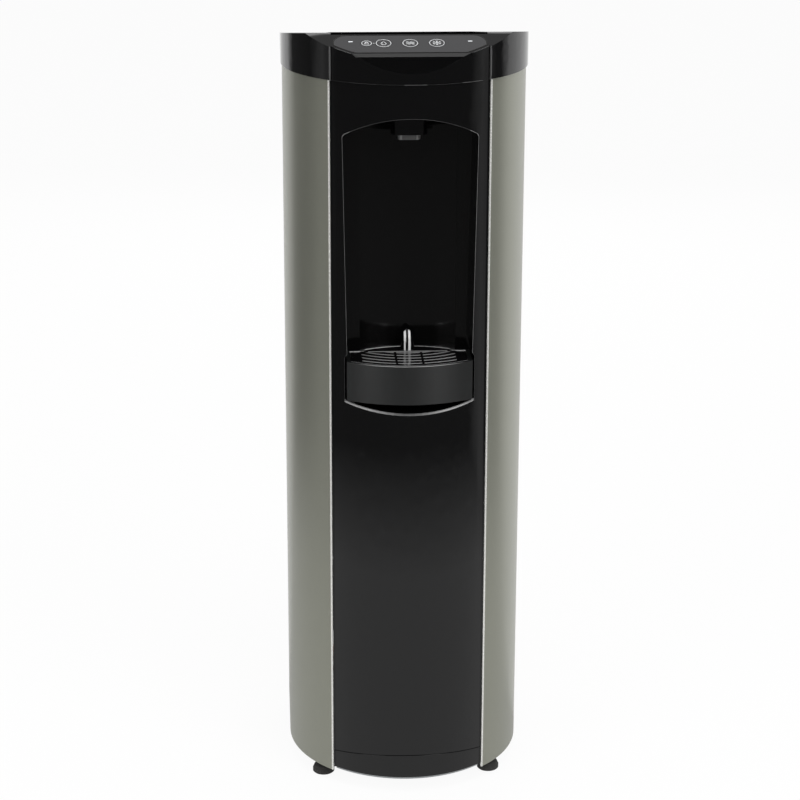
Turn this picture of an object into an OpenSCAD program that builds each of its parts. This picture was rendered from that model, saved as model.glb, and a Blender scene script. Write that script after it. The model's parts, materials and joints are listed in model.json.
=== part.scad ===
// Floor-standing water dispenser with a plumbed supply, a chilled tank and a hot tank.
// Millimetres, +Z up, front towards -Y, origin on the floor under the middle of the body.

/* [Body] */
// Half of the width over the side panels
body_half_w = 156; // [152:1:165]
// Depth of the front half of the plan, from the widest line to the front
front_depth = 174; // [168:1:182]
// Distance from the widest line to the back face
rear_y = 150; // [146:1:160]
// Radius of the two rear corners
rear_corner_r = 16; // [10:1:20]
// Thickness of the steel panels
sheet = 1; // [0.8:0.1:1.4]
// Height of the lower edge of the side panels
panel_bottom = 18.5; // [17:0.5:20]
// Height of the cap, from the seam over the panels to the ridge
cap_h = 51; // [48:0.5:54]
// Clearance between pieces that lie side by side
fit = 0.3; // [0.2:0.05:0.4]

/* [Front column] */
// Half of the width of the black column
column_half = 99; // [97:0.5:101]
// Depth of the column's face behind the side panels
recess = 2.2; // [1.5:0.1:3]
// Wall of the front mouldings
front_wall = 3; // [2.5:0.1:3.5]
// Radius of the rolled front edge of each side panel
hem_r = 1.4; // [1.2:0.1:1.6]
// Depth of the folded edges beside the column
fold_in = 13; // [11:0.5:15]
// Height of the skirt's lower edge
skirt_bottom = 23.5; // [22:0.5:25]
// Height of the skirt's seam at the middle
skirt_top = 55.5; // [52:0.5:60]
// Radius of the skirt's curved seam
skirt_arc_r = 605; // [560:5:700]

/* [Niche] */
// Drop from that seam to the crown of the arch
arch_drop = 43; // [41:0.5:46]
// Radius of the arch
arch_r = 158; // [150:1:170]
// Radius of the two arch corners
arch_corner_r = 7; // [5:0.5:9]
// Half width of the niche at its shoulders
niche_half_top = 84.6; // [83.5:0.1:86]
// Half width of the niche just above the tray
niche_half_low = 79.6; // [79:0.1:80.5]
// Half width of the opening beside the tray
tray_bay_half = 82.5; // [82:0.1:83.5]
// Height of the lowest point of the opening
smile_z = 531.5; // [529:0.5:534]
// Radius of the lower curved edge
smile_r = 302; // [290:1:320]
// Wall of the niche liner
liner_wall = 2.5; // [2:0.1:3]
// Distance of the niche's flat shoulders behind the front
shoulder_back = 78; // [75:0.5:80]
// Distance of the deepest line of the curved back wall behind the front
bay_back = 99; // [96:0.5:101]
// Radius of the curved back wall
bay_r = 115.4; // [110:0.2:122]
// Half width of the curved back wall
bay_half = 61.7; // [58:0.1:64]

/* [Drip tray] */
// Half width of the tray
tray_half = 80; // [79:0.1:80.5]
// Height of the drip tray over the lowest point of its bay
tray_lift = 12.5; // [11:0.5:14]
// Height of the drip tray
tray_h = 51; // [48:0.5:53]
// Wall of the tray
tray_wall = 2.4; // [2:0.1:3]
// Thickness of the grille
grille_t = 3; // [2.4:0.1:3.6]
// Width of the rim of the tray round the grille
tray_rim = 5; // [4.4:0.1:6]
// Distance from the tray's front to the first slot
slot_first = 13; // [12:0.5:14]
// Pitch of the curved slots
slot_pitch = 12; // [11.5:0.1:12.4]
// Width of each slot
slot_w = 3.2; // [2.6:0.1:3.8]
// Number of curved slots
slot_count = 5; // [3:1:5]
// Radius of the post on the grille
post_r = 9.2; // [8.5:0.1:10]
// Height of the post above the grille
post_h = 27; // [24:0.5:29]

/* [Cap] */
// Overhang of the cap's wings past the side panels
overhang = 2.5; // [2:0.1:3]
// Wall of the cap
cap_wall = 3; // [2.6:0.1:3.4]
// Height of the ridge behind the control panel, the highest line
ridge_z = 1003; // [996:0.5:1010]
// Distance of the ridge behind the front
ridge_back = 66; // [64:0.5:68]
// Slope of the control panel in degrees
incline_deg = 19.3; // [18.8:0.1:20]
// Distance of the fold below the control panel behind the front
fold_back = 17; // [15:0.5:19]
// Height of the front edge at the middle over the seam
brow_h = 13; // [11:0.5:15]
// Distance of the wings' crest behind the front
crest_back = 71; // [69:0.5:73]
// Fall of the cap towards the back in degrees
fall_deg = 8.6; // [8:0.1:9]
// Half width of the sunken deck behind the ridge
deck_half = 97; // [92:0.5:98]
// Depth of the sunken deck
deck_drop = 5; // [4:0.5:6]

/* [Control panel] */
// Half width of the lens
lens_half = 94; // [92:0.5:95]
// Thickness of the lens
lens_t = 1.6; // [1.4:0.1:1.8]
// Radius of the rear corners of the lens
lens_corner_r = 17; // [14:0.5:19]
// Radius of the three temperature keys
key_r = 10.3; // [9.5:0.1:11]
// Radius of the lock key
lock_r = 7.2; // [6.5:0.1:7.8]
// Distance of the keys behind the front
key_back = 45; // [43:0.5:46.5]
// Pitch of the temperature keys
key_pitch = 32.8; // [31:0.1:34]
// Distance of the lock key from the middle
lock_x = 53.6; // [53:0.1:55]
// Travel of each key
key_travel = 0.5; // [0.3:0.1:0.6]

/* [Feet] */
// Distance of the feet from the sides
foot_side = 44; // [42:1:50]
// Distance of the front feet behind the front
foot_back = 77; // [75:1:82]
// Distance of the rear feet in front of the back face
foot_rear = 38; // [34:1:46]
// Radius of each foot pad
foot_r = 14.6; // [13:0.1:16]
// Height of each foot pad
foot_h = 13; // [11:0.5:14]
// Radius of the levelling stem
stem_r = 4; // [3.5:0.1:4.5]
// Travel of the levelling feet
foot_travel = 12; // [8:1:14]
// Height of the underside of the base pan
base_z = 20; // [19.5:0.1:21]
// Thickness of the base pan
base_t = 2; // [1.6:0.1:2.4]
// Height of the base pan's rim
base_rim = 28; // [24:1:30]

/* [Inside] */
// Height of the shelf over the machine bay
bay_shelf_z = 215; // [210:1:225]
// Drop from the crown of the arch to the shelf that carries the tanks
tank_drop = 309; // [304:1:319]
// Room for the evaporator between the cold tank and its foam
coil_room = 8; // [7.5:0.1:12]
// Height of the cold tank
cold_h = 190; // [180:1:196]
// Share of the inner width that the cold tank's foam takes, next to the hot tank's
tank_share = 0.61; // [0.605:0.001:0.615]
// Thickness of the foam floor and lid
foam_t = 18; // [16:1:20]
// Distance from the hot tank to the outside of its jacket
jacket_t = 11; // [10.5:0.5:15]
// Height of the hot tank
hot_h = 150; // [140:1:156]
// Radius of the evaporator tube
coil_tube_r = 3; // [2.6:0.1:3.2]
// Turns of the evaporator
coil_turns = 9; // [6:1:10]
// Radius of the compressor
comp_r = 62; // [56:1:66]
// Height of the compressor's shell
comp_h = 132; // [120:1:140]
// Radius of the filter cartridges
filter_r = 31; // [28:0.5:32]
// Room over the filter cartridges for their heads
filter_room = 145; // [140:1:165]
// Outer radius of the water tube
tube_r = 3.175; // [3:0.025:3.3]

/* [Condenser] */
// Number of passes of the condenser tube
pass_count = 19; // [9:2:19]
// Drop from the seam to the highest pass
cond_drop = 72; // [70:1:90]
// Distance of the ends of the straight passes from the sides
pass_side = 56; // [54:1:62]
// Radius of the condenser tube
cond_r = 2.4; // [2:0.1:2.6]
// Radius of the condenser wires
wire_r = 0.8; // [0.6:0.1:1]
// Number of wires on each side
wire_count = 16; // [8:2:16]
// Distance from the back face to the condenser's tube
cond_gap = 12; // [10:0.5:14]
// Height of the lowest pass
cond_z = 268; // [264:1:276]

/* [Hidden] */

GLOSS_BLACK = [0.05, 0.05, 0.055];
CHARCOAL = [0.2, 0.21, 0.21];
CHAMPAGNE = [0.55, 0.56, 0.48];
LENS_GREY = [0.3, 0.3, 0.32];
STEEL = [0.72, 0.73, 0.74];
ZINC = [0.62, 0.64, 0.65];
COPPER = [0.72, 0.42, 0.27];
FOAM = [0.86, 0.87, 0.85];
WHITE_PLASTIC = [0.9, 0.9, 0.88];
BLUE_PLASTIC = [0.25, 0.42, 0.7];
BOARD_GREEN = [0.1, 0.35, 0.2];
RUBBER = [0.08, 0.08, 0.08];

far = 400;
bore_fit = 0.1;
front_y = -front_depth;
seam_z = ridge_z - cap_h;
arch_z = seam_z - arch_drop;
brow_z = seam_z + brow_h;
tray_bottom = smile_z + tray_lift;
tray_top = tray_bottom + tray_h;
tank_shelf_z = arch_z - tank_drop;
ridge_in = front_depth - ridge_back;
fold_front = front_depth - fold_back;
crest_in = front_depth - crest_back;
key_in = front_depth - key_back;
shoulder_in = front_depth - shoulder_back;
bay_in = front_depth - bay_back;
foot_x = body_half_w - foot_side;
foot_front = front_depth - foot_back;
pass_half = body_half_w - pass_side;
pass_pitch = (seam_z - cond_drop - cond_z) / (pass_count - 1);
filter_h = tank_shelf_z - bay_shelf_z - filter_room;

// The two tanks share the inner width
tank_span = body_half_w - sheet - 14;
foam_r = tank_span * tank_share;
jacket_r = tank_span - foam_r;
cold_r = foam_r - foam_t - coil_room;
hot_r = jacket_r - jacket_t;

// Front surface of the plan, moved outwards by d, at a distance x from the middle
function ell_y(x, d = 0) = -(front_depth + d) * sqrt(1 - pow(x / (body_half_w + d), 2));
// Angle of the outward normal there, measured from -Y towards +X
function ell_turn(x) = atan2(x / pow(body_half_w, 2), -ell_y(x) / pow(front_depth, 2));

ridge_y = -ridge_in;
fold_y = -fold_front;
crest_y = -crest_in;
function incline_z(y) = ridge_z + (y - ridge_y) * tan(incline_deg);
function fall_z(y) = incline_z(crest_y) - (y - crest_y) * tan(fall_deg);
deck_rear_y = rear_y - 14;

// Ellipse of the front half of the plan, moved outwards by d
module ellipse2d(d = 0) {
  scale([body_half_w + d, front_depth + d]) circle(r = 1, $fn = 128);
}

// Plan of the body moved outwards by d
module plan2d(d = 0) {
  corner = rear_corner_r + d;
  half = body_half_w + d;
  intersection() {
    ellipse2d(d);
    translate([-far, -far]) square([2 * far, far + rear_y / 2]);
  }
  translate([-half, 0]) square([2 * half, rear_y + d - corner]);
  translate([-half + corner, 0]) square([2 * (half - corner), rear_y + d]);
  for (side = [-1, 1])
    translate([side * (half - corner), rear_y + d - corner]) circle(r = corner, $fn = 64);
}

// Plan with its own offset inside the front column
module stepped_plan(outer_d, column_d, half = column_half) {
  difference() {
    plan2d(outer_d);
    difference() {
      translate([-half, -far]) square([2 * half, far]);
      plan2d(column_d);
    }
  }
}

module prism(z0, z1) {
  translate([0, 0, z0]) linear_extrude(height = z1 - z0) children();
}

module box(x0, x1, y0, y1, z0, z1) {
  translate([x0, y0, z0]) cube([x1 - x0, y1 - y0, z1 - z0]);
}

// A profile drawn in Y and Z, stretched along X
module along_x(half) {
  rotate([90, 0, 90]) linear_extrude(height = 2 * half, center = true) children();
}

// A profile drawn in X and Z, stretched along Y
module along_y(y0, y1) {
  translate([0, y1, 0]) rotate([90, 0, 0]) linear_extrude(height = y1 - y0) children();
}

module rod(x, y, z0, z1, r) {
  translate([x, y, z0]) cylinder(r = r, h = z1 - z0, $fn = 48);
}

// A round bar or bore along Y
module rod_y(x, z, y0, y1, r) {
  translate([x, y1, z]) rotate([90, 0, 0]) cylinder(r = r, h = y1 - y0, $fn = 48);
}

module ring(x, y, z0, z1, r_out, r_in) {
  difference() {
    rod(x, y, z0, z1, r_out);
    rod(x, y, z0 - 1, z1 + 1, r_in);
  }
}

// Stadium of half length a and half width b
module stadium2d(a, b) {
  square([2 * (a - b), 2 * b], center = true);
  for (side = [-1, 1]) translate([side * (a - b), 0]) circle(r = b, $fn = 48);
}

// Turn of the balls at bends, so that their seams miss those of the tubes
ball_turn = [17, 31, 47];

// Tube along a list of points, with a round elbow at each inner point
module pipe(points, r, elbow = 1.12) {
  for (i = [0 : len(points) - 2]) {
    run = points[i + 1] - points[i];
    length = norm(run);
    translate(points[i])
      rotate([0, acos(run[2] / length), atan2(run[1], run[0])])
        cylinder(r = r, h = length, $fn = 32);
  }
  for (i = [1 : 1 : len(points) - 2])
    translate(points[i]) rotate(ball_turn) sphere(r = r * elbow, $fn = 32);
}

// Tube swept by rings of n sides, closed at both ends
module swept(path, r, n = 6) {
  count = len(path);
  rings = [for (i = [0 : count - 1])
    let (
      ahead = path[min(i + 1, count - 1)] - path[max(i - 1, 0)],
      t = ahead / norm(ahead),
      side = cross(t, [0, 0, 1]) / norm(cross(t, [0, 0, 1])),
      up = cross(side, t)
    )
    for (k = [0 : n - 1]) path[i] + r * (cos(360 * k / n) * side + sin(360 * k / n) * up)
  ];
  walls = [for (i = [0 : count - 2]) for (k = [0 : n - 1])
    let (a = i * n + k, b = i * n + (k + 1) % n)
    for (tri = [[a, b, b + n], [a, b + n, a + n]]) tri
  ];
  first = [for (k = [1 : n - 2]) [0, k + 1, k]];
  last = [for (k = [1 : n - 2]) [(count - 1) * n, (count - 1) * n + k, (count - 1) * n + k + 1]];
  polyhedron(points = rings, faces = concat(walls, first, last), convexity = 10);
}

// Feet, with a pad on the floor and a stem that screws into the nut in the base pan
foot_rear_y = rear_y - foot_rear;
stem_top = base_z + base_t + foot_travel + 6;
neck_r = stem_r + 4;
nut_half = 8;
nut_h = 8;

function foot_places() = [
  [-foot_x, -foot_front], [foot_x, -foot_front], [-foot_x, foot_rear_y], [foot_x, foot_rear_y]
];

module foot(place) {
  color(RUBBER)
    translate([place[0], place[1], 0])
      rotate_extrude($fn = 64)
        polygon([
          [0, 0], [foot_r - 1.5, 0], [foot_r, 1.5], [foot_r, foot_h * 0.45],
          [foot_r - 2, foot_h * 0.8], [neck_r, foot_h], [neck_r, base_z - fit],
          [stem_r, base_z - fit], [stem_r, stem_top], [0, stem_top]
        ]);
}

module foot_nuts() {
  color(ZINC)
    for (place = foot_places())
      difference() {
        translate([place[0], place[1], base_z + base_t])
          rotate(30) cylinder(r = nut_half, h = nut_h, $fn = 6);
        rod(place[0], place[1], base_z, base_z + base_t + nut_h + 1, stem_r + fit);
      }
}

// Base pan with its upturned rim, and bosses for the compressor's grommets
comp_x = 15;
comp_y = rear_y - comp_r - 22;
grommet_x = 66;
grommet_y = 52;
grommet_h = 12;
grommet_r = 9;

function grommet_places() = [
  for (sx = [-1, 1]) for (sy = [-1, 1]) [comp_x + sx * grommet_x, comp_y + sy * grommet_y]
];

// Room for the folded edges of the side panels and of the column
fold_out = column_half + 2 * hem_r + fit;

module fold_notches(z0, z1) {
  notch_in = column_half - front_wall - 2 * fit;
  for (side = [-1, 1])
    box(
      side > 0 ? notch_in : -fold_out, side > 0 ? fold_out : -notch_in,
      front_y, ell_y(column_half, -recess) + fold_in + 2 * fit, z0, z1
    );
}

module base_pan() {
  side_d = -sheet - fit;
  column_d = -recess - front_wall - fit;
  color(ZINC)
    difference() {
      prism(base_z, base_z + base_rim) stepped_plan(side_d, column_d, fold_out);
      prism(base_z + base_t, base_z + base_rim + 1)
        stepped_plan(side_d - base_t, column_d - base_t, fold_out + base_t);
      fold_notches(base_z - 1, base_z + base_rim + 1);
      for (place = foot_places())
        rod(place[0], place[1], base_z - 1, base_z + base_t + 1, stem_r + fit);
      for (place = grommet_places())
        rod(place[0], place[1], base_z - 1, base_z + base_t + 1, 2.6);
    }
}

// Black column: skirt and front panel share one surface behind the side panels
column_edge = column_half - fit;
seam_gap = 0.6;

module column_shell(z0, z1) {
  lip_y = ell_y(column_edge, -recess) + fold_in;
  difference() {
    intersection() {
      prism(z0, z1) plan2d(-recess);
      box(-column_edge, column_edge, -far, lip_y, z0 - 1, z1 + 1);
    }
    intersection() {
      prism(z0 - 1, z1 + 1) plan2d(-recess - front_wall);
      box(-far, far, -far, far, z0 - 2, z1 + 2);
    }
    difference() {
      box(-far, far, -far, far, z0 - 1, z1 + 1);
      box(-far, far, -far, ell_y(column_edge, -recess), z0 - 2, z1 + 2);
    }
  }
  for (side = [-1, 1])
    box(
      min(side * column_edge, side * (column_edge - front_wall)),
      max(side * column_edge, side * (column_edge - front_wall)),
      ell_y(column_edge - front_wall, -recess) + 0.5, lip_y, z0, z1
    );
}

module skirt_arc(gap) {
  translate([0, skirt_top - skirt_arc_r]) circle(r = skirt_arc_r + gap, $fn = 256);
}

module base_skirt() {
  color(GLOSS_BLACK)
    intersection() {
      column_shell(skirt_bottom, skirt_top + 1);
      along_y(-far, 0) skirt_arc(0);
    }
}

// Outline of the niche's opening, moved outwards by d
shelf_corner_z = tray_top + 5;
niche_corner_z = arch_z - arch_r + sqrt(pow(arch_r, 2) - pow(niche_half_top, 2));
niche_taper = (niche_half_top - niche_half_low) / (niche_corner_z - shelf_corner_z - 4);
niche_lean = atan(niche_taper);

// Distance of the tapered side from the middle at height z, and the corner's centre found from it
function niche_side(z) = niche_half_low + niche_taper * (z - shelf_corner_z - 4);
function corner_x(z) = niche_side(z) - arch_corner_r / cos(niche_lean);
function corner_height(x) = arch_z - arch_r + sqrt(pow(arch_r - arch_corner_r, 2) - pow(x, 2));
function settle_corner(z, rounds) = rounds == 0 ? z : settle_corner(corner_height(corner_x(z)), rounds - 1);

module niche_outline(d = 0) {
  dx = d / cos(niche_lean);
  high = arch_z + d + 30;
  corner = arch_corner_r + d;
  cz = settle_corner(niche_corner_z, 5);
  cx = corner_x(cz);
  along_arch = atan2(cx, cz - arch_z + arch_r);
  difference() {
    intersection() {
      polygon([
        [-tray_bay_half - d, smile_z - 40], [tray_bay_half + d, smile_z - 40],
        [tray_bay_half + d, shelf_corner_z], [niche_side(shelf_corner_z + 4) + dx, shelf_corner_z + 4],
        [niche_side(high) + dx, high], [-niche_side(high) - dx, high],
        [-niche_side(shelf_corner_z + 4) - dx, shelf_corner_z + 4], [-tray_bay_half - d, shelf_corner_z]
      ]);
      union() {
        translate([0, arch_z - arch_r]) circle(r = arch_r + d, $fn = 192);
        translate([-far, smile_z - 50]) square([2 * far, arch_z - arch_r - smile_z + 50]);
      }
      translate([0, smile_z + smile_r]) circle(r = smile_r + d, $fn = 256);
    }
    for (side = [-1, 1])
      scale([side, 1]) difference() {
        polygon([
          [cx, cz],
          [cx + 3 * corner * cos(niche_lean), cz - 3 * corner * sin(niche_lean)],
          [cx + 4 * corner, cz + 4 * corner],
          [cx + 3 * corner * sin(along_arch), cz + 3 * corner * cos(along_arch)]
        ]);
        translate([cx, cz]) circle(r = corner, $fn = 64);
      }
  }
}

module front_panel() {
  color(GLOSS_BLACK)
    difference() {
      column_shell(skirt_bottom + 10, seam_z - fit);
      along_y(-far, 0) skirt_arc(seam_gap);
      along_y(-far, 0) niche_outline();
    }
}

// Plan of the niche's inner space, moved outwards by d
module niche_plan(d = 0) {
  translate([-far, -far]) square([2 * far, far - shoulder_in + d]);
  intersection() {
    translate([0, -bay_in - bay_r]) circle(r = bay_r + d, $fn = 128);
    translate([-bay_half - d, -far]) square([2 * (bay_half + d), far]);
  }
}

nozzle_y = 64 - front_depth;
outlet_x = 6;
runner_x = 70;
runner_w = 8;
runner_front = front_depth - 24;

module niche_liner() {
  z0 = smile_z - 10;
  z1 = arch_z + 10;
  color(GLOSS_BLACK) {
    difference() {
      intersection() {
        along_y(-far, 0) niche_outline(liner_wall);
        prism(z0, z1) niche_plan(liner_wall);
        prism(z0 - 1, z1 + 1) plan2d(-recess - front_wall - fit);
      }
      intersection() {
        along_y(-far, 0) niche_outline();
        prism(z0 - 2, z1 + 2) niche_plan();
      }
      for (side = [-1, 1])
        rod(side * outlet_x, nozzle_y, arch_z - 15, arch_z + 15, tube_r + bore_fit);
    }
    for (side = [-1, 1])
      intersection() {
        box(
          side * runner_x - (side < 0 ? runner_w : 0), side * runner_x + (side > 0 ? runner_w : 0),
          -runner_front, -shoulder_in - 2, smile_z, tray_bottom - fit
        );
        along_y(-far, 0) niche_outline(liner_wall / 2);
        prism(z0, tray_bottom) plan2d(-recess - front_wall - fit);
      }
  }
}

// Side panel with a rolled front edge, a fold beside the column and a return at the back
return_x = body_half_w - 34;

module side_panel() {
  turn = ell_turn(column_half);
  bead_x = column_half + hem_r;
  face_x = bead_x + (hem_r - 0.4) * sin(turn);
  bead_y = ell_y(face_x) + (hem_r - 0.4) * cos(turn);
  fold_y0 = bead_y;
  z1 = seam_z - fit;
  difference() {
    prism(panel_bottom, z1) plan2d();
    prism(panel_bottom - 1, z1 + 1) plan2d(-sheet);
    box(-far, bead_x, -far, 0, panel_bottom - 1, z1 + 1);
    box(-far, return_x, -1, far, panel_bottom - 1, z1 + 1);
    for (z = screw_heights())
      rod_y(screw_x, z, rear_y - sheet - 1, rear_y + 1, screw_r + bore_fit);
  }
  rod(bead_x, bead_y, panel_bottom, z1, hem_r);
  box(column_half, column_half + sheet, fold_y0, ell_y(column_half) + fold_in, panel_bottom, z1);
}

module side_panel_right() {
  color(CHAMPAGNE) side_panel();
}

module side_panel_left() {
  color(CHAMPAGNE) mirror([1, 0, 0]) side_panel();
}

// Nozzle under the roof of the niche
tip_half = 14.4;
tip_deep = 7.5;
tip_z0 = arch_z - 36;
tip_z1 = arch_z - 29;
housing_half = 23;
housing_deep = 13;

module nozzle_housing() {
  color(GLOSS_BLACK)
    difference() {
      intersection() {
        translate([0, nozzle_y, tip_z1]) linear_extrude(height = arch_z - tip_z1 + 11)
          stadium2d(housing_half, housing_deep);
        along_y(-far, 0) translate([0, arch_z - arch_r]) circle(r = arch_r - fit, $fn = 192);
      }
      for (side = [-1, 1])
        rod(side * outlet_x, nozzle_y, tip_z1 - 1, arch_z + 1, tube_r + bore_fit);
    }
}

module nozzle_tip() {
  color(STEEL)
    difference() {
      translate([0, nozzle_y, tip_z0])
        linear_extrude(height = tip_z1 - tip_z0) stadium2d(tip_half, tip_deep);
      for (side = [-1, 1]) rod(side * outlet_x, nozzle_y, tip_z0 - 1, tip_z1 + 1, tube_r - 0.6);
    }
}

// Cap: its top is folded along the ridge, the crest and the fold below the control panel
module cap_profile(drop = 0) {
  steep = (incline_z(fold_y) - brow_z) / (fold_y - front_y);
  low_y = front_y - overhang - 2;
  polygon([
    [low_y, seam_z - 20], [low_y, brow_z + (low_y - front_y) * steep - drop],
    [fold_y, incline_z(fold_y) - drop], [crest_y, incline_z(crest_y) - drop],
    [rear_y + 20, fall_z(rear_y + 20) - drop], [rear_y + 20, seam_z - 20]
  ]);
}

// Space above the sunken deck, widened by extra and lowered by drop
module deck_space(extra, drop) {
  y0 = ridge_y - extra;
  y1 = deck_rear_y + extra;
  along_x(deck_half + extra)
    polygon([
      [y0, fall_z(y0) - deck_drop - drop], [y1, fall_z(y1) - deck_drop - drop],
      [y1, ridge_z + 20], [y0, ridge_z + 20]
    ]);
}

// Outline of the control lens seen from above, shrunk by d
module lens_outline(d = 0) {
  half = lens_half - d;
  corner = lens_corner_r - d;
  y_top = ridge_y - 2 - d;
  intersection() {
    union() {
      translate([-half, -far]) square([2 * half, far + y_top - corner]);
      translate([-half + corner, -far]) square([2 * (half - corner), far + y_top]);
      for (side = [-1, 1])
        translate([side * (half - corner), y_top - corner]) circle(r = corner, $fn = 64);
    }
    ellipse2d(-4 - d);
    translate([-far, fold_y + 5 + d]) square([2 * far, far]);
  }
}

// Slab that follows the incline, between two depths below it
module incline_slab(upper, lower) {
  y0 = fold_y - 30;
  y1 = ridge_y + 30;
  along_x(far)
    polygon([
      [y0, incline_z(y0) - lower], [y1, incline_z(y1) - lower],
      [y1, incline_z(y1) - upper], [y0, incline_z(y0) - upper]
    ]);
}

// Children drawn with Z along the incline's normal, at a place on its surface
module on_incline(x, y) {
  translate([x, y, incline_z(y)]) rotate([incline_deg, 0, 0]) children();
}

key_y = -key_in;
lamp_places = [[-73, key_y + 4], [74, key_y + 4]];
key_places = [[-lock_x, lock_r], [-key_pitch, key_r], [0, key_r], [key_pitch, key_r]];
key_t = 1;
stem_key_r = 3.2;
board_gap = 5;
board_depth = cap_wall + board_gap;
post_x = 82;
lip_t = 2;
lamp_half = 2.6;
lamp_deep = 0.8;

module lens_depth_slab() {
  incline_slab(-1, lens_t / cos(incline_deg));
}

module top_cap() {
  lip_z = seam_z - 8;
  lip_y = rear_y - rear_corner_r - 14;
  color(GLOSS_BLACK) {
    difference() {
      intersection() {
        prism(seam_z, ridge_z + 10) stepped_plan(overhang, 0);
        along_x(far) cap_profile();
      }
      difference() {
        intersection() {
          prism(seam_z - 1, ridge_z + 9)
            stepped_plan(overhang - cap_wall, -cap_wall, column_half + cap_wall);
          along_x(far) cap_profile(cap_wall / cos(incline_deg));
        }
        deck_space(cap_wall, cap_wall);
      }
      deck_space(0, 0);
      intersection() {
        prism(brow_z, ridge_z + 10) lens_outline(-bore_fit);
        lens_depth_slab();
      }
      for (key = key_places)
        on_incline(key[0], key_y) cylinder(r = stem_key_r + fit, h = 30, center = true, $fn = 48);
      for (place = lamp_places)
        on_incline(place[0], place[1])
          cube([2 * (lamp_half + bore_fit), 2 * (lamp_deep + bore_fit), 30], center = true);
    }
    for (side = [0, 1])
      mirror([side, 0, 0])
        intersection() {
          difference() {
            union() {
              prism(lip_z, seam_z + 1) plan2d(-sheet - fit);
              prism(seam_z, seam_z + 4) plan2d(overhang - cap_wall + fit);
            }
            prism(lip_z - 1, seam_z + 5) plan2d(-sheet - fit - lip_t);
          }
          box(column_half + 5, far, -far, lip_y, lip_z - 2, seam_z + 6);
        }
    for (side = [-1, 1])
      on_incline(side * post_x, key_y)
        translate([0, 0, -board_depth]) cylinder(r = 3, h = board_gap + 0.5, $fn = 48);
  }
}

module control_lens() {
  color(LENS_GREY)
    difference() {
      intersection() {
        prism(brow_z, ridge_z + 10) lens_outline();
        incline_slab(0, lens_t / cos(incline_deg));
      }
      for (key = key_places)
        on_incline(key[0], key_y) cylinder(r = key[1] + fit, h = 20, center = true, $fn = 96);
      for (place = lamp_places)
        on_incline(place[0], place[1])
          cube([2 * (lamp_half + bore_fit), 2 * (lamp_deep + bore_fit), 20], center = true);
    }
}

// Light guides that reach from the board to the lens's surface
module indicator_lamps() {
  color(WHITE_PLASTIC)
    for (place = lamp_places)
      on_incline(place[0], place[1])
        translate([-lamp_half, -lamp_deep, -board_depth])
          cube([2 * lamp_half, 2 * lamp_deep, board_depth]);
}

switch_h = 2;
module button_board() {
  board_t = 1.6;
  color(BOARD_GREEN) {
    on_incline(0, key_y)
      translate([-post_x - 6, -12, -board_depth - board_t]) cube([2 * post_x + 12, 24, board_t]);
    for (key = key_places)
      on_incline(key[0], key_y)
        translate([-3, -3, -board_depth]) cube([6, 6, switch_h]);
  }
}

// A key flush with the lens, with a stem down to its switch
module touch_key(place) {
  color(LENS_GREY)
    on_incline(place[0], key_y) {
      translate([0, 0, -key_t]) cylinder(r = place[1], h = key_t, $fn = 96);
      translate([0, 0, -board_depth + switch_h + key_travel + 0.1])
        cylinder(r = stem_key_r, h = board_depth - switch_h - key_travel - 0.1 - key_t / 2, $fn = 48);
    }
}

// Back of the cabinet
screw_x = return_x + 6;
screw_r = 2;
rear_half = body_half_w - rear_corner_r - sheet - fit;
panel_z0 = bay_shelf_z + 1.5;
panel_z1 = seam_z - fit;
rear_in = rear_y - 2 * sheet;
vent_rows = 9;
vent_pitch = 16;
vent_half = 30;
vent_x = rear_half - vent_half - 46.7;
fitting_z = bay_shelf_z + 26;
inlet_x = 81 - body_half_w;
gland_x = 20;
drain_x = body_half_w - 64;
switch_x = 58 - body_half_w;
switch_z = seam_z - 36;
switch_half_w = 10;
switch_half_h = 6.5;

screw_step = 40;
function screw_heights() = [panel_z0 + screw_step, tank_shelf_z - screw_step, panel_z1 - screw_step];

module louvre_hood(x, z) {
  translate([x, 0, 0]) along_x(vent_half)
    polygon([[rear_in + 0.1, z + 5], [rear_in - 6, z - 1.5], [rear_in - 5, z - 1.5], [rear_in + 0.1, z + 3.6]]);
}

module rear_panel() {
  vent_z0 = panel_z1 - 60 - vent_rows * vent_pitch;
  color(ZINC) {
    difference() {
      box(-rear_half, rear_half, rear_in, rear_in + sheet, panel_z0, panel_z1);
      for (side = [-1, 1])
        for (i = [0 : vent_rows - 1])
          box(
            side * vent_x - vent_half, side * vent_x + vent_half, rear_in - 1, rear_in + sheet + 1,
            vent_z0 + i * vent_pitch, vent_z0 + i * vent_pitch + 3.5
          );
      for (side = [-1, 1]) for (z = screw_heights())
        rod_y(side * screw_x, z, rear_in - 1, rear_y + 1, screw_r + bore_fit);
      rod_y(inlet_x, fitting_z, rear_in - 1, rear_y + 1, fitting_r + bore_fit);
      rod_y(gland_x, fitting_z, rear_in - 1, rear_y + 1, gland_r + bore_fit);
      rod_y(drain_x, fitting_z, rear_in - 1, rear_y + 1, fitting_r + bore_fit);
      box(
        switch_x - switch_half_w - bore_fit, switch_x + switch_half_w + bore_fit,
        rear_in - 1, rear_y + 1,
        switch_z - switch_half_h - bore_fit, switch_z + switch_half_h + bore_fit
      );
      for (place = bracket_places())
        rod_y(place[0], place[1], rear_in - 1, rear_y + 1, 1.6);
    }
    for (side = [-1, 1])
      for (i = [0 : vent_rows - 1]) louvre_hood(side * vent_x, vent_z0 + i * vent_pitch);
  }
}

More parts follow.
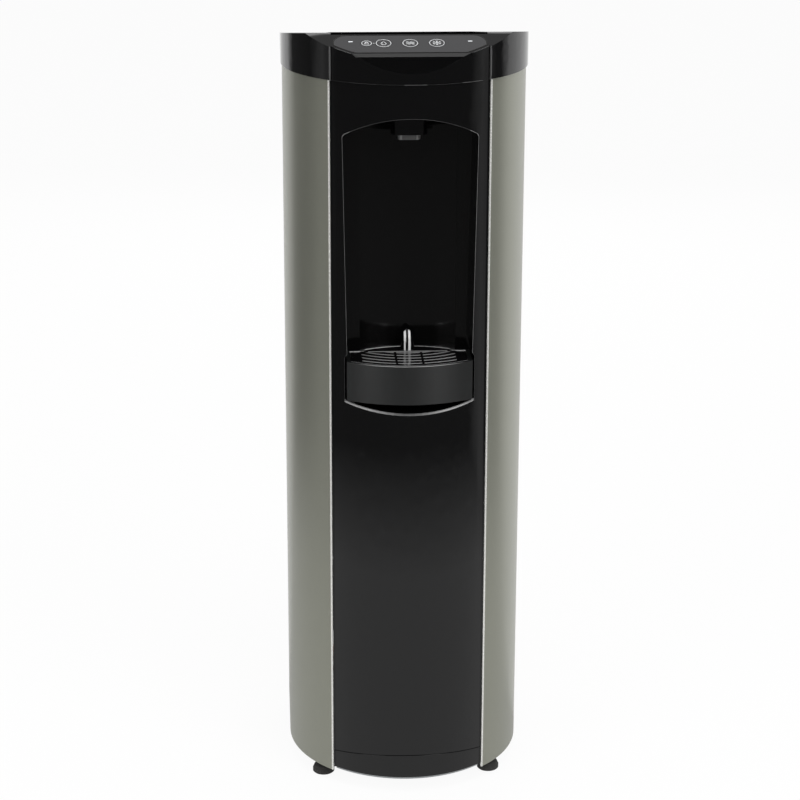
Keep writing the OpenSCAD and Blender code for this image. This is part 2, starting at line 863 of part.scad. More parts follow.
module case_screws() {
  color(ZINC)
    for (side = [-1, 1]) for (z = screw_heights())
      difference() {
        union() {
          rod_y(side * screw_x, z, rear_in - 6, rear_y + 0.5, screw_r);
          rod_y(side * screw_x, z, rear_y, rear_y + 1.8, 3.6);
        }
        box(
          side * screw_x - 2.6, side * screw_x + 2.6, rear_y + 1, rear_y + 3, z - 0.5, z + 0.5
        );
        box(
          side * screw_x - 0.5, side * screw_x + 0.5, rear_y + 1, rear_y + 3, z - 2.6, z + 2.6
        );
      }
}

fitting_r = 8;
gland_r = 8;

// Push-in inlet for the supply tube, clamped through the back
module inlet_fitting() {
  color(WHITE_PLASTIC)
    difference() {
      union() {
        rod_y(inlet_x, fitting_z, rear_in - 16, rear_y + 9, fitting_r);
        rod_y(inlet_x, fitting_z, rear_in + sheet, rear_y + 4, 11);
        rod_y(inlet_x, fitting_z, rear_in - 4, rear_in, 11);
      }
      rod_y(inlet_x, fitting_z, rear_in - 17, rear_y + 10, 2.2);
      rod_y(inlet_x, fitting_z, rear_y - 6, rear_y + 10, tube_r + 0.025);
    }
}

// Threaded drain of the hot tank, closed by a cap that unscrews
cap_gap = 0.3;
drain_out = 12;
module drain_spigot() {
  color(WHITE_PLASTIC)
    difference() {
      union() {
        rod_y(drain_x, fitting_z, rear_in - 12, rear_y + drain_out, fitting_r);
        rod_y(drain_x, fitting_z, rear_in + sheet, rear_y + 2, 12);
        rod_y(drain_x, fitting_z, rear_in - 4, rear_in, 12);
      }
      rod_y(drain_x, fitting_z, rear_in - 13, rear_y + drain_out + 1, 4);
    }
}

module drain_cap() {
  y0 = rear_y + 2 + cap_gap;
  y1 = rear_y + drain_out + cap_gap + 3;
  color(RUBBER)
    difference() {
      union() {
        rod_y(drain_x, fitting_z, y0, y1, fitting_r + 3);
        for (i = [0 : 11])
          translate([drain_x, 0, fitting_z]) rotate([0, i * 30, 0])
            box(fitting_r + 2.5, fitting_r + 3.6, y0, y1, -0.8, 0.8);
      }
      rod_y(drain_x, fitting_z, y0 - 1, rear_y + drain_out + cap_gap, fitting_r + cap_gap);
    }
}

// Gland for the mains lead, bare
module cord_gland() {
  color(RUBBER)
    difference() {
      union() {
        rod_y(gland_x, fitting_z, rear_in - 5, rear_y + 2, gland_r);
        rod_y(gland_x, fitting_z, rear_in + sheet, rear_y + 4, 11);
        translate([gland_x, rear_in - 5, fitting_z]) rotate([-90, 0, 0])
          cylinder(r = 11, h = 5, $fn = 6);
      }
      rod_y(gland_x, fitting_z, rear_in - 6, rear_y + 5, 3.8);
    }
}

// Switch of the hot tank: a bezel and a rocker on its pivot
module switch_bezel() {
  y0 = rear_in - 12;
  color(RUBBER)
    difference() {
      union() {
        box(
          switch_x - switch_half_w, switch_x + switch_half_w, y0, rear_y + 0.5,
          switch_z - switch_half_h, switch_z + switch_half_h
        );
        box(
          switch_x - switch_half_w - 2, switch_x + switch_half_w + 2, rear_in + sheet, rear_y + 1.5,
          switch_z - switch_half_h - 2, switch_z + switch_half_h + 2
        );
      }
      box(
        switch_x - switch_half_w + 1.5, switch_x + switch_half_w - 1.5, y0 + 2, rear_y + 3,
        switch_z - switch_half_h + 1, switch_z + switch_half_h - 1
      );
      rod(
        switch_x, rocker_y, switch_z - switch_half_h - 1, switch_z + switch_half_h + 1,
        rocker_pin_r + 0.05
      );
    }
}

rocker_deg = 10;
rocker_y = rear_y - 2;
rocker_pin_r = 1.2;

module hot_switch() {
  half = switch_half_w - 1.5 - 3 * fit;
  half_h = switch_half_h - 1 - fit;
  color([0.6, 0.08, 0.06])
    translate([switch_x, rocker_y, switch_z]) {
      rotate([0, 0, -rocker_deg])
        translate([0, 0, -half_h])
          linear_extrude(height = 2 * half_h)
            polygon([[-half, -1.6], [half, -1.6], [half, 4], [0, 2.2], [-half, 4]]);
      translate([0, 0, -half_h - 0.9]) cylinder(r = rocker_pin_r, h = 2 * half_h + 1.8, $fn = 32);
    }
}

// Condenser: one tube in passes, wires on both sides, and brackets that also space it from the wall
cond_y = rear_y + cond_gap;
wall_y = rear_y + 24;
function pass_z(i) = cond_z + i * pass_pitch;
cond_top_z = pass_z(pass_count - 1);
bracket_x = pass_half - 4;

function bracket_places() = [
  for (side = [-1, 1]) for (i = [1, pass_count - 2]) [side * bracket_x, pass_z(i)]
];

module condenser_tube() {
  color(RUBBER) {
    for (i = [0 : pass_count - 1])
      translate([-pass_half, cond_y, pass_z(i)]) rotate([0, 90, 0])
        cylinder(r = cond_r, h = 2 * pass_half, $fn = 32);
    for (i = [0 : pass_count - 2])
      translate([i % 2 == 0 ? pass_half : -pass_half, cond_y, pass_z(i) + pass_pitch / 2])
        rotate([90, 0, 0]) rotate([0, 0, i % 2 == 0 ? -90 : 90])
          rotate_extrude(angle = 180, $fn = 48)
            translate([pass_pitch / 2, 0]) circle(r = cond_r, $fn = 32);
  }
}

module condenser_wires() {
  reach = cond_r + wire_r + 0.05;
  span = 2 * (bracket_x - 6) / (wire_count - 1);
  color(RUBBER)
    for (side = [-1, 1]) for (i = [0 : wire_count - 1])
      translate([-bracket_x + 6 + i * span, cond_y + side * reach, cond_z - 8])
        cylinder(r = wire_r, h = cond_top_z - cond_z + 16, $fn = 16);
}

module condenser_brackets() {
  color(RUBBER)
    for (place = bracket_places())
      difference() {
        union() {
          box(place[0] - 3, place[0] + 3, rear_in + sheet, wall_y, place[1] - 7, place[1] + 7);
          rod_y(place[0], place[1], rear_in - 4, rear_in + sheet + 1, 1.5);
        }
        translate([place[0] - 4, cond_y, place[1]]) rotate([0, 90, 0])
          cylinder(r = cond_r + bore_fit, h = 8, $fn = 32);
      }
}

// Machine bay
plate_t = 3;
comp_plate_z = base_z + base_t + grommet_h;
comp_z = comp_plate_z + plate_t;
comp_top = comp_z + comp_h;
stub_z = comp_z + 72;
stub_r = 5;
line_r = 2.4;
drier_x = -foot_x;
drier_y = comp_y + 34;
drier_z = base_z + 30;
drier_h = 60;
line_out_x = body_half_w - 29;
line_in_x = body_half_w - 44;
capillary_x = 26 - body_half_w;
capillary_r = 1.2;

// Half outline of a turned vessel with rounded ends
module vessel2d(r, h, c) {
  square([r - c, h]);
  translate([0, c]) square([r, h - 2 * c]);
  for (z = [c, h - c]) translate([r - c, z]) circle(r = c, $fn = 64);
}

module compressor() {
  color(RUBBER)
    difference() {
      union() {
        translate([comp_x, comp_y, comp_z - 1]) rotate_extrude($fn = 96) vessel2d(comp_r, comp_h + 1, 26);
        ring(comp_x, comp_y, comp_z + comp_h * 0.6, comp_z + comp_h * 0.6 + 7, comp_r + 4, comp_r - 4);
        box(
          comp_x - grommet_x - 12, comp_x + grommet_x + 12,
          comp_y - grommet_y - 12, comp_y + grommet_y + 12, comp_plate_z, comp_z
        );
        rod(comp_x, comp_y, comp_top - 5, comp_top + 10, stub_r);
        translate([comp_x + comp_r - 5, comp_y, stub_z]) rotate([0, 90, 0])
          cylinder(r = stub_r, h = 15, $fn = 48);
        box(comp_x - 18, comp_x + 18, comp_y - comp_r - 18, comp_y - comp_r + 8, comp_z + 30, comp_z + 68);
      }
      for (place = grommet_places())
        rod(place[0], place[1], comp_plate_z - 1, comp_z + 1, 4);
    }
}

module compressor_grommets() {
  pan_top = base_z + base_t;
  color([0.16, 0.16, 0.16])
    for (place = grommet_places()) {
      rod(place[0], place[1], pan_top, comp_plate_z, grommet_r);
      rod(place[0], place[1], base_z - 1, comp_z + 4, 2.5);
      rod(place[0], place[1], comp_z + 0.2, comp_z + 4, 6.5);
    }
}

module filter_drier() {
  color(COPPER)
    translate([drier_x, drier_y, drier_z])
      rotate_extrude($fn = 48)
        polygon([
          [0, 0], [line_r, 0], [line_r, 3], [9.5, 12], [9.5, drier_h - 12], [line_r, drier_h - 3],
          [line_r, drier_h], [0, drier_h]
        ]);
}

// Coil and tank positions behind the niche
shelf_t = 1.2;
cold_x = foam_r + 17 + sheet - body_half_w;
cold_y = rear_y - foam_r - 24;
foam_z = tank_shelf_z + shelf_t + fit;
cold_z = foam_z + foam_t + fit;
cold_top = cold_z + cold_h;
lid_z = cold_top + fit;
lid_top = lid_z + foam_t;
coil_steps = 24;
coil_r = (cold_r + 0.4 + coil_tube_r) / cos(180 / coil_steps);
coil_z = cold_z + 22;
coil_pitch = (cold_h - 44) / coil_turns;
coil_top = coil_z + coil_turns * coil_pitch;
coil_end = 6;
suction_x = cold_x + coil_end + 8;
echo(least_gap_between_turns = coil_pitch - 2 * coil_tube_r);

module refrigerant_lines() {
  turn_z = comp_top + 22;
  joint = 1.45;
  color(COPPER) {
    pipe([
      [comp_x + comp_r + 10, comp_y, stub_z], [line_in_x, comp_y, stub_z],
      [line_in_x, cond_y, stub_z], [line_out_x, cond_y, stub_z + 20],
      [line_out_x, cond_y, cond_top_z], [pass_half, cond_y, cond_top_z]
    ], line_r, joint);
    pipe([
      [-pass_half, cond_y, cond_z], [-line_out_x, cond_y, cond_z],
      [-line_out_x, cond_y, stub_z + 30], [drier_x, cond_y, stub_z + 15],
      [drier_x, drier_y, stub_z + 15], [drier_x, drier_y, drier_z + drier_h]
    ], line_r, joint);
    pipe([
      [cold_x + coil_end, cold_y + coil_r, coil_z], [suction_x, cold_y + coil_r, coil_z],
      [suction_x, cold_y + coil_r, turn_z], [comp_x, comp_y, turn_z], [comp_x, comp_y, comp_top + 10]
    ], line_r, joint);
    pipe([
      [drier_x, drier_y, drier_z], [drier_x, drier_y, drier_z - 8],
      [capillary_x, drier_y, drier_z - 8], [capillary_x, drier_y, lid_top + 8],
      [cold_x - coil_end - 4, cold_y + coil_r, lid_top + 8],
      [cold_x - coil_end - 4, cold_y + coil_r, coil_top], [cold_x - coil_end, cold_y + coil_r, coil_top]
    ], capillary_r, joint);
  }
}

module evaporator_coil() {
  turns = [for (k = [0 : coil_turns * coil_steps])
    let (angle = 90 + 360 * k / coil_steps)
    [cold_x + coil_r * cos(angle), cold_y + coil_r * sin(angle), coil_z + coil_pitch * k / coil_steps]
  ];
  first = [[cold_x + coil_end, cold_y + coil_r, coil_z]];
  last = [[cold_x - coil_end, cold_y + coil_r, coil_top]];
  color(COPPER) swept(concat(first, turns, last), coil_tube_r);
}

tank_wall = 1;
module cold_tank() {
  color(STEEL)
    difference() {
      union() {
        translate([cold_x, cold_y, cold_z]) rotate_extrude($fn = 96) vessel2d(cold_r, cold_h, 10);
        rod(cold_x, cold_y, cold_z - 8, cold_z + 2, stub_r);
        rod(cold_x + 24, cold_y, cold_top - 2, lid_top + 6, stub_r);
      }
      translate([cold_x, cold_y, cold_z + tank_wall])
        rotate_extrude($fn = 96)
          vessel2d(cold_r - tank_wall, cold_h - 2 * tank_wall, 10 - tank_wall);
      rod(cold_x, cold_y, cold_z - 9, cold_z + 3, tube_r - 0.6);
      rod(cold_x + 24, cold_y, cold_top - 5, lid_top + 7, tube_r - 0.6);
      rod(cold_x, cold_y, cold_top - 5, cold_top + 1, 8);
    }
}

module cold_foam() {
  inner = coil_r + coil_tube_r + 5;
  color(FOAM)
    difference() {
      rod_fine(cold_x, cold_y, foam_z, cold_top, foam_r);
      rod_fine(cold_x, cold_y, foam_z + foam_t, cold_top + 1, inner);
      rod(cold_x, cold_y, foam_z - 1, cold_z + 1, stub_r + fit);
      rod(suction_x, cold_y + coil_r, foam_z - 1, cold_z + 1, line_r + fit);
    }
}

module rod_fine(x, y, z0, z1, r) {
  translate([x, y, z0]) cylinder(r = r, h = z1 - z0, $fn = 128);
}

module cold_foam_lid() {
  color(FOAM)
    difference() {
      rod_fine(cold_x, cold_y, lid_z, lid_top, foam_r);
      rod(cold_x, cold_y, lid_z - 1, lid_top + 1, 10);
      rod(cold_x + 24, cold_y, lid_z - 1, lid_top + 1, stub_r + fit);
      rod(cold_x - coil_end - 4, cold_y + coil_r, lid_z - 1, lid_top + 1, capillary_r + fit);
    }
}

module level_probe() {
  color(WHITE_PLASTIC) {
    rod(cold_x, cold_y, cold_top + 0.1, lid_top + 6, 9.6);
    rod(cold_x, cold_y, lid_top, lid_top + 4, 13);
    for (i = [0 : 2])
      rod(
        cold_x + 4 * cos(120 * i), cold_y + 4 * sin(120 * i),
        cold_top - 50 - 40 * i, cold_top + 1, 1.2
      );
  }
}

// Hot tank beside the cold one
hot_x = body_half_w - sheet - 8 - jacket_r;
hot_y = rear_y - jacket_r - 40;
stand_h = 38;
hot_z = tank_shelf_z + shelf_t + stand_h;
hot_top = hot_z + hot_h;
hot_feed_z = hot_z + 18;
heater_t = 4;

module hot_tank() {
  color(STEEL)
    difference() {
      union() {
        translate([hot_x, hot_y, hot_z]) rotate_extrude($fn = 96) vessel2d(hot_r, hot_h, 12);
        rod(hot_x, hot_y, hot_z - 8, hot_z + 2, stub_r);
        rod(hot_x, hot_y, hot_top - 2, hot_top + 12, stub_r);
        rod_y(hot_x, hot_feed_z, hot_y - jacket_r - 6, hot_y - hot_r + 4, stub_r);
      }
      translate([hot_x, hot_y, hot_z + tank_wall])
        rotate_extrude($fn = 96) vessel2d(hot_r - tank_wall, hot_h - 2 * tank_wall, 12 - tank_wall);
      rod(hot_x, hot_y, hot_z - 9, hot_z + 3, tube_r - 0.6);
      rod(hot_x, hot_y, hot_top - 5, hot_top + 13, tube_r - 0.6);
      rod_y(hot_x, hot_feed_z, hot_y - jacket_r - 7, hot_y - hot_r + 6, tube_r - 0.6);
    }
}

module hot_tank_stand() {
  color(ZINC) ring(hot_x, hot_y, tank_shelf_z + shelf_t, hot_z, jacket_r, 24);
}

module band_heater() {
  z0 = hot_z + 34;
  color(ZINC) {
    ring(hot_x, hot_y, z0, z0 + 34, hot_r + heater_t, hot_r + 0.2);
    box(
      hot_x + 6, hot_x + 12, hot_y - hot_r - heater_t - 3, hot_y - hot_r - heater_t + 2.4,
      z0 + 10, z0 + 24
    );
  }
}

module hot_tank_jacket() {
  color(FOAM)
    difference() {
      rod_fine(hot_x, hot_y, hot_z, hot_top - 2, jacket_r);
      rod_fine(hot_x, hot_y, hot_z - 1, hot_top, hot_r + heater_t + fit);
      rod_y(hot_x, hot_feed_z, hot_y - jacket_r - 1, hot_y, stub_r + fit);
      box(
        hot_x + 5, hot_x + 13, hot_y - jacket_r - 1, hot_y - hot_r, hot_z + hot_h * 0.28, hot_top
      );
    }
}

module thermostats() {
  color(RUBBER)
    for (side = [-1, 1]) {
      rod(hot_x + side * 20, hot_y, hot_top, hot_top + 7, 8);
      for (pin = [-1, 1])
        box(
          hot_x + side * 20 - 0.4, hot_x + side * 20 + 0.4,
          hot_y + pin * 4 - 1.6, hot_y + pin * 4 + 1.6, hot_top + 6, hot_top + 14
        );
    }
}

// Sheet shelves with a rim turned down along their edges
module shelf(z, y_front, y_back, rim) {
  outer_d = -sheet - fit;
  column_d = -recess - front_wall - fit;
  difference() {
    intersection() {
      prism(z - rim, z + shelf_t) stepped_plan(outer_d, column_d, fold_out);
      box(-far, far, y_front, y_back, z - rim - 1, z + shelf_t + 1);
    }
    intersection() {
      prism(z - rim - 1, z) stepped_plan(outer_d - shelf_t, column_d - shelf_t, fold_out + shelf_t);
      box(-far, far, y_front + shelf_t, y_back - shelf_t, z - rim - 2, z + 1);
    }
    fold_notches(z - rim - 1, z + shelf_t + 1);
  }
}

module bay_shelf() {
  color(ZINC)
    difference() {
      shelf(bay_shelf_z, -far, rear_y - 8, 12);
      rod(suction_x, cold_y + coil_r, bay_shelf_z - 1, bay_shelf_z + 3, line_r + 1);
      rod(capillary_x, drier_y, bay_shelf_z - 1, bay_shelf_z + 3, capillary_r + 1);
    }
}

module tank_shelf() {
  z = tank_shelf_z;
  color(ZINC)
    difference() {
      shelf(z, tank_front_y, rear_in - fit, 14);
      rod(suction_x, cold_y + coil_r, z - 1, z + 3, line_r + 1);
      rod(capillary_x, drier_y, z - 1, z + 3, capillary_r + 1);
      rod(cold_x, cold_y, z - 1, z + 3, stub_r + 1);
      rod(hot_x, hot_y, z - 1, z + 3, stub_r + 1);
    }
}

// Solenoid valves over the tanks
tank_front_y = cold_y - foam_r - 8;
bracket_half = 46;
bracket_z = lid_top + 22;
bracket_t = 1.2;
bracket_front_y = -bay_in + liner_wall + fit;
valve_y = bracket_front_y + 12;
valve_len = 30;
valve_h = 18;
valve_z = bracket_z + bracket_t;
valve_mid_z = valve_z + valve_h / 2;
valve_back_y = valve_y + valve_len + 6;
outlet_y = valve_y + 7;

module valve_bracket() {
  color(ZINC) {
    box(
      -bracket_half, bracket_half, bracket_front_y, valve_y + valve_len + 3, bracket_z, bracket_z + bracket_t
    );
    box(-26, 26, bracket_front_y, bracket_front_y + bracket_t, bracket_z - 40, bracket_z + 0.5);
  }
}

module solenoid_valve(x, y, z) {
  box(x - 11, x + 11, y, y + valve_len, z, z + valve_h);
  rod(x, y + valve_len - 9, z + valve_h - 1, z + valve_h + 24, 9);
  rod(x, y + 7, z + valve_h - 1, z + valve_h + 7, stub_r);
  rod_y(x, z + valve_h / 2, y + valve_len - 1, y + valve_len + 6, stub_r);
}

module dispense_valves() {
  color(WHITE_PLASTIC)
    for (i = [-1 : 1]) solenoid_valve(i * 30, valve_y, valve_z);
}

// Supply side: inlet valve, filters and their heads
feed_y = rear_in - 40;
inlet_valve_z = fitting_z - valve_h / 2;
filter_x = 45;
filter_y = 114 - front_depth;
cradle_z = bay_shelf_z + shelf_t;
cradle_t = 5;
filter_z = cradle_z + cradle_t;
head_z = filter_z + filter_h;
head_h = 28;
port_x = filter_r + 9;
port_z = head_z + 15;

module inlet_valve() {
  color(WHITE_PLASTIC) {
    box(inlet_x - 11, inlet_x + 11, feed_y - 28, feed_y, inlet_valve_z, inlet_valve_z + valve_h);
    rod(inlet_x, feed_y - 11, inlet_valve_z + valve_h - 1, inlet_valve_z + valve_h + 24, 10);
    rod_y(inlet_x, fitting_z, feed_y - 1, feed_y + 6, stub_r);
    rod_y(inlet_x, fitting_z, feed_y - 34, feed_y - 27, stub_r);
    box(inlet_x - 7, inlet_x + 7, feed_y - 24, feed_y - 4, cradle_z, inlet_valve_z + 1);
  }
}

module filter_cradle() {
  color(WHITE_PLASTIC) {
    box(
      -filter_x - filter_r - 6, filter_x + filter_r + 6, filter_y - filter_r - 5,
      filter_y + filter_r + 5, cradle_z, filter_z
    );
    for (side = [-1, 1])
      ring(side * filter_x, filter_y, filter_z - 1, filter_z + 22, filter_r + 3.3, filter_r + fit);
  }
}

module filter_cartridges() {
  color(BLUE_PLASTIC)
    for (side = [-1, 1])
      translate([side * filter_x, filter_y, filter_z])
        rotate_extrude($fn = 96) vessel2d(filter_r, filter_h, 8);
}

module filter_heads() {
  color(WHITE_PLASTIC)
    for (side = [-1, 1]) {
      rod_fine(side * filter_x, filter_y, head_z, head_z + head_h, filter_r + 1);
      translate([side * filter_x - port_x, filter_y, port_z]) rotate([0, 90, 0])
        cylinder(r = stub_r, h = 2 * port_x, $fn = 48);
    }
}

// Drinking-water tubes, joined where they meet at tees
module water_tubes() {
  riser_x = 110;
  branch_in = tube_r * 1.25;
  low_z = tank_shelf_z - 18;
  cross_z = lid_top + 15;
  over_z = arch_z + 16;
  rear_turn_y = valve_back_y + 12;
  cold_front_y = tank_front_y - 7;
  color([0.92, 0.93, 0.95]) {
    pipe([
      [inlet_x, rear_in - 16, fitting_z], [inlet_x, feed_y + 6, fitting_z]
    ], tube_r);
    pipe([
      [inlet_x, feed_y - 34, fitting_z], [inlet_x, feed_y - 50, fitting_z],
      [inlet_x, feed_y - 50, port_z], [-filter_x - port_x - 16, feed_y - 50, port_z],
      [-filter_x - port_x - 16, filter_y, port_z], [-filter_x - port_x, filter_y, port_z]
    ], tube_r);
    pipe([
      [-filter_x + port_x, filter_y, port_z], [filter_x - port_x, filter_y, port_z]
    ], tube_r);
    pipe([
      [filter_x + port_x, filter_y, port_z], [riser_x, filter_y, port_z], [riser_x, filter_y, cross_z],
      [riser_x, cold_y, cross_z], [cold_x + 24, cold_y, cross_z], [cold_x + 24, cold_y, lid_top + 6]
    ], tube_r);
    pipe([
      [riser_x - branch_in, filter_y, hot_feed_z], [hot_x, filter_y, hot_feed_z],
      [hot_x, hot_y - jacket_r - 6, hot_feed_z]
    ], tube_r);
    pipe([
      [0, cold_y - branch_in, cross_z], [0, rear_turn_y, cross_z], [0, rear_turn_y, valve_mid_z],
      [0, valve_back_y, valve_mid_z]
    ], tube_r);
    pipe([
      [cold_x, cold_y, cold_z - 8], [cold_x, cold_y, low_z], [cold_x, cold_front_y, low_z],
      [cold_x, cold_front_y, lid_top + 10], [cold_x, rear_turn_y, lid_top + 10],
      [-30, rear_turn_y, valve_mid_z], [-30, valve_back_y, valve_mid_z]
    ], tube_r);
    pipe([
      [hot_x, hot_y, hot_top + 12], [hot_x, hot_y, valve_mid_z + 12],
      [30, rear_turn_y, valve_mid_z + 12], [30, rear_turn_y, valve_mid_z],
      [30, valve_back_y, valve_mid_z]
    ], tube_r);
    pipe([
      [-30, outlet_y, valve_z + valve_h + 7], [-30, outlet_y, over_z],
      [-outlet_x, nozzle_y, over_z], [-outlet_x, nozzle_y, tip_z1]
    ], tube_r);
    pipe([
      [0, outlet_y, valve_z + valve_h + 7], [0, outlet_y, over_z], [-outlet_x, nozzle_y, over_z]
    ], tube_r);
    pipe([
      [30, outlet_y, valve_z + valve_h + 7], [30, outlet_y, over_z],
      [outlet_x, nozzle_y, over_z], [outlet_x, nozzle_y, tip_z1]
    ], tube_r);
    pipe([
      [hot_x, hot_y, hot_z - 8], [hot_x, hot_y, fitting_z], [hot_x, rear_in - 12, fitting_z]
    ], tube_r);
    for (tee = [[riser_x, filter_y, hot_feed_z], [0, cold_y, cross_z]])
      translate(tee) rotate(ball_turn) sphere(r = tube_r * 1.7, $fn = 48);
  }
}

// Control electronics on the inside of the back
module power_board() {
  x0 = 44 - body_half_w;
  z0 = tank_shelf_z - 195;
  y1 = rear_in - 8;
  color(BOARD_GREEN) {
    box(x0, x0 + 110, y1 - 1.6, y1, z0, z0 + 90);
    for (dx = [6, 104]) for (dz = [6, 84]) rod_y(x0 + dx, z0 + dz, y1 - 0.5, rear_in, 3);
    box(x0 + 10, x0 + 52, y1 - 34, y1 - 1, z0 + 14, z0 + 50);
    for (i = [0 : 3]) box(x0 + 62 + i * 11, x0 + 71 + i * 11, y1 - 16, y1 - 1, z0 + 14, z0 + 32);
    for (i = [0 : 2]) rod_y(x0 + 68 + i * 16, z0 + 62, y1 - 22, y1 - 1, 5.5);
  }
}

// Drip tray, its grille and the post on it
module tray_plan(d = 0) {
  intersection() {
    ellipse2d(-fit + d);
    translate([-tray_half - d, -far]) square([2 * (tray_half + d), far - shoulder_in - fit + d]);
  }
  intersection() {
    translate([0, -bay_in - bay_r]) circle(r = bay_r - fit + d, $fn = 128);
    translate([-bay_half + fit - d, -shoulder_in - 20]) square([2 * (bay_half - fit + d), far]);
  }
}

grille_z = tray_top - grille_t;

module drip_tray() {
  ledge = 2.2;
  color(CHARCOAL)
    difference() {
      prism(tray_bottom, tray_top) tray_plan();
      prism(tray_bottom + tray_wall, tray_top + 1) tray_plan(-tray_rim - ledge);
      prism(grille_z - fit, tray_top + 1) tray_plan(-tray_rim);
    }
}

// Raised field of the grille, an ellipse that reaches back to the niche's round bay
field_mid = shoulder_in + 54;
field_half = tray_half - tray_rim - 1;
field_depth = 83;
field_rise = 0.9;

module grille_field(d = 0) {
  translate([0, -field_mid]) scale([field_half + d, field_depth + d]) circle(r = 1, $fn = 128);
}

function slot_depth(i) = slot_first + i * slot_pitch;
slot_half = tray_half - 20;
straight_half = slot_half - 9;
rib_w = 3;
straight_slot_y = -shoulder_in - 8;
post_flat = 0.4;
post_rise = post_h * 0.58;
post_round = (pow(post_rise, 2) + pow(post_r, 2)) / (2 * post_r);

module drip_grille() {
  color([0.1, 0.1, 0.1]) {
    difference() {
      prism(grille_z, tray_top) tray_plan(-tray_rim - fit);
      for (i = [0 : slot_count - 1])
        intersection() {
          difference() {
            prism(grille_z - 1, tray_top + 1) ellipse2d(-slot_depth(i));
            prism(grille_z - 2, tray_top + 2) ellipse2d(-slot_depth(i) - slot_w);
          }
          difference() {
            box(-slot_half, slot_half, -far, straight_slot_y - slot_w, grille_z - 2, tray_top + 2);
            for (x = [-slot_half * 0.28, slot_half * 0.28])
              box(x - rib_w / 2, x + rib_w / 2, -far, 0, grille_z - 3, tray_top + 3);
          }
        }
      box(
        -straight_half, straight_half, straight_slot_y - slot_w / 2, straight_slot_y + slot_w / 2,
        grille_z - 1, tray_top + 1
      );
      difference() {
        box(-far, far, -far, -shoulder_in - 1, tray_top - field_rise, tray_top + 3);
        prism(tray_top - field_rise - 1, tray_top + 4) grille_field();
      }
    }
    translate([0, -bay_in - 16, tray_top - 0.5])
      rotate_extrude($fn = 64)
        intersection() {
          union() {
            square([post_r, post_h * 0.42]);
            translate([post_r - post_round, post_h * 0.42]) circle(r = post_round, $fn = 96);
          }
          square([post_r, post_h - post_flat]);
        }
  }
}

module key_lock() { touch_key(key_places[0]); }
module key_hot() { touch_key(key_places[1]); }
module key_ambient() { touch_key(key_places[2]); }
module key_cold() { touch_key(key_places[3]); }
module foot_front_left() { foot(foot_places()[0]); }
module foot_front_right() { foot(foot_places()[1]); }
module foot_rear_left() { foot(foot_places()[2]); }
module foot_rear_right() { foot(foot_places()[3]); }

base_pan();
base_skirt();
side_panel_left();
side_panel_right();
front_panel();
niche_liner();
nozzle_housing();
nozzle_tip();
top_cap();
control_lens();
indicator_lamps();
button_board();
rear_panel();
condenser_tube();
condenser_wires();
condenser_brackets();
compressor();
compressor_grommets();
refrigerant_lines();
filter_drier();
bay_shelf();
tank_shelf();
cold_tank();
evaporator_coil();
cold_foam();
cold_foam_lid();
level_probe();
hot_tank();
hot_tank_stand();
band_heater();
hot_tank_jacket();
thermostats();
valve_bracket();
dispense_valves();
inlet_valve();
filter_cradle();
filter_cartridges();
filter_heads();
water_tubes();
inlet_fitting();
drain_spigot();
cord_gland();
switch_bezel();
power_board();
case_screws();
foot_nuts();
drip_tray();
drip_grille();
key_lock();
key_hot();
key_ambient();
key_cold();
hot_switch();
drain_cap();
foot_front_left();
foot_front_right();
foot_rear_left();
foot_rear_right();
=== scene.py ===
"""Studio scene of a free-standing water dispenser.

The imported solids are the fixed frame. This file gives each of them its finish, puts the rounded edges, the bent
copper lines, the printed icons and the other fine pieces on them, and sets the floor, the light and the camera.
"""

import json
import logging
import math
from collections.abc import Callable, Iterable, Sequence
from dataclasses import dataclass, field
from enum import Enum

import bmesh
import bpy
from mathutils import Matrix, Vector


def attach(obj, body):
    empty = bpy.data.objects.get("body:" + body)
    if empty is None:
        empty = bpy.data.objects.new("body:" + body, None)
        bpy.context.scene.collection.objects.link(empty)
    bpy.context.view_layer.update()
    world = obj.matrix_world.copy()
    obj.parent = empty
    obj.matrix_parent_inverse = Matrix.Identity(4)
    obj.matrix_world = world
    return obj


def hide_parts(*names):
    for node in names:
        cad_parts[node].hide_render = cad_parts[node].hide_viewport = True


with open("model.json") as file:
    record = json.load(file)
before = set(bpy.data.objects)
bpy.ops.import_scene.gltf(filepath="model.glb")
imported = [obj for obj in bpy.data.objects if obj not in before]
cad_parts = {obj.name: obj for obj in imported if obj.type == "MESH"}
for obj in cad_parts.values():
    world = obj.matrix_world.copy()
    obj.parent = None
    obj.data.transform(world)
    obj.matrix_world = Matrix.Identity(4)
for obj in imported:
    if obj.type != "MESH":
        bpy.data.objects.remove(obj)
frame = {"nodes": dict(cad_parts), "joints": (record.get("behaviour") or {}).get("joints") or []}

LOG = logging.getLogger("dispenser")
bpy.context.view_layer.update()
MM = 0.001
# Face attribute of painted highlights: the share by which a face's base colour is mixed towards white.
PAINTED_HIGHLIGHT_LAYER = "lip"
WHITE = (1.0, 1.0, 1.0)
SAME_SPOT = 0.004 * MM
FLAT_TURN = math.radians(0.08)
SMOOTH_TURN = math.radians(40.0)
NORMAL_WEIGHT = 80
PRINT_FLATNESS = 0.3

Colour = Point = tuple[float, float, float]
Pair = tuple[float, float]
Stroke = tuple[list[Pair], bool]
Run = tuple[Sequence[Point], bool]


class Texture(Enum):
    """How the small variation of a finish is laid out."""

    CLOUD = "cloud"
    FLAKE = "flake"
    BRUSHED = "brushed"


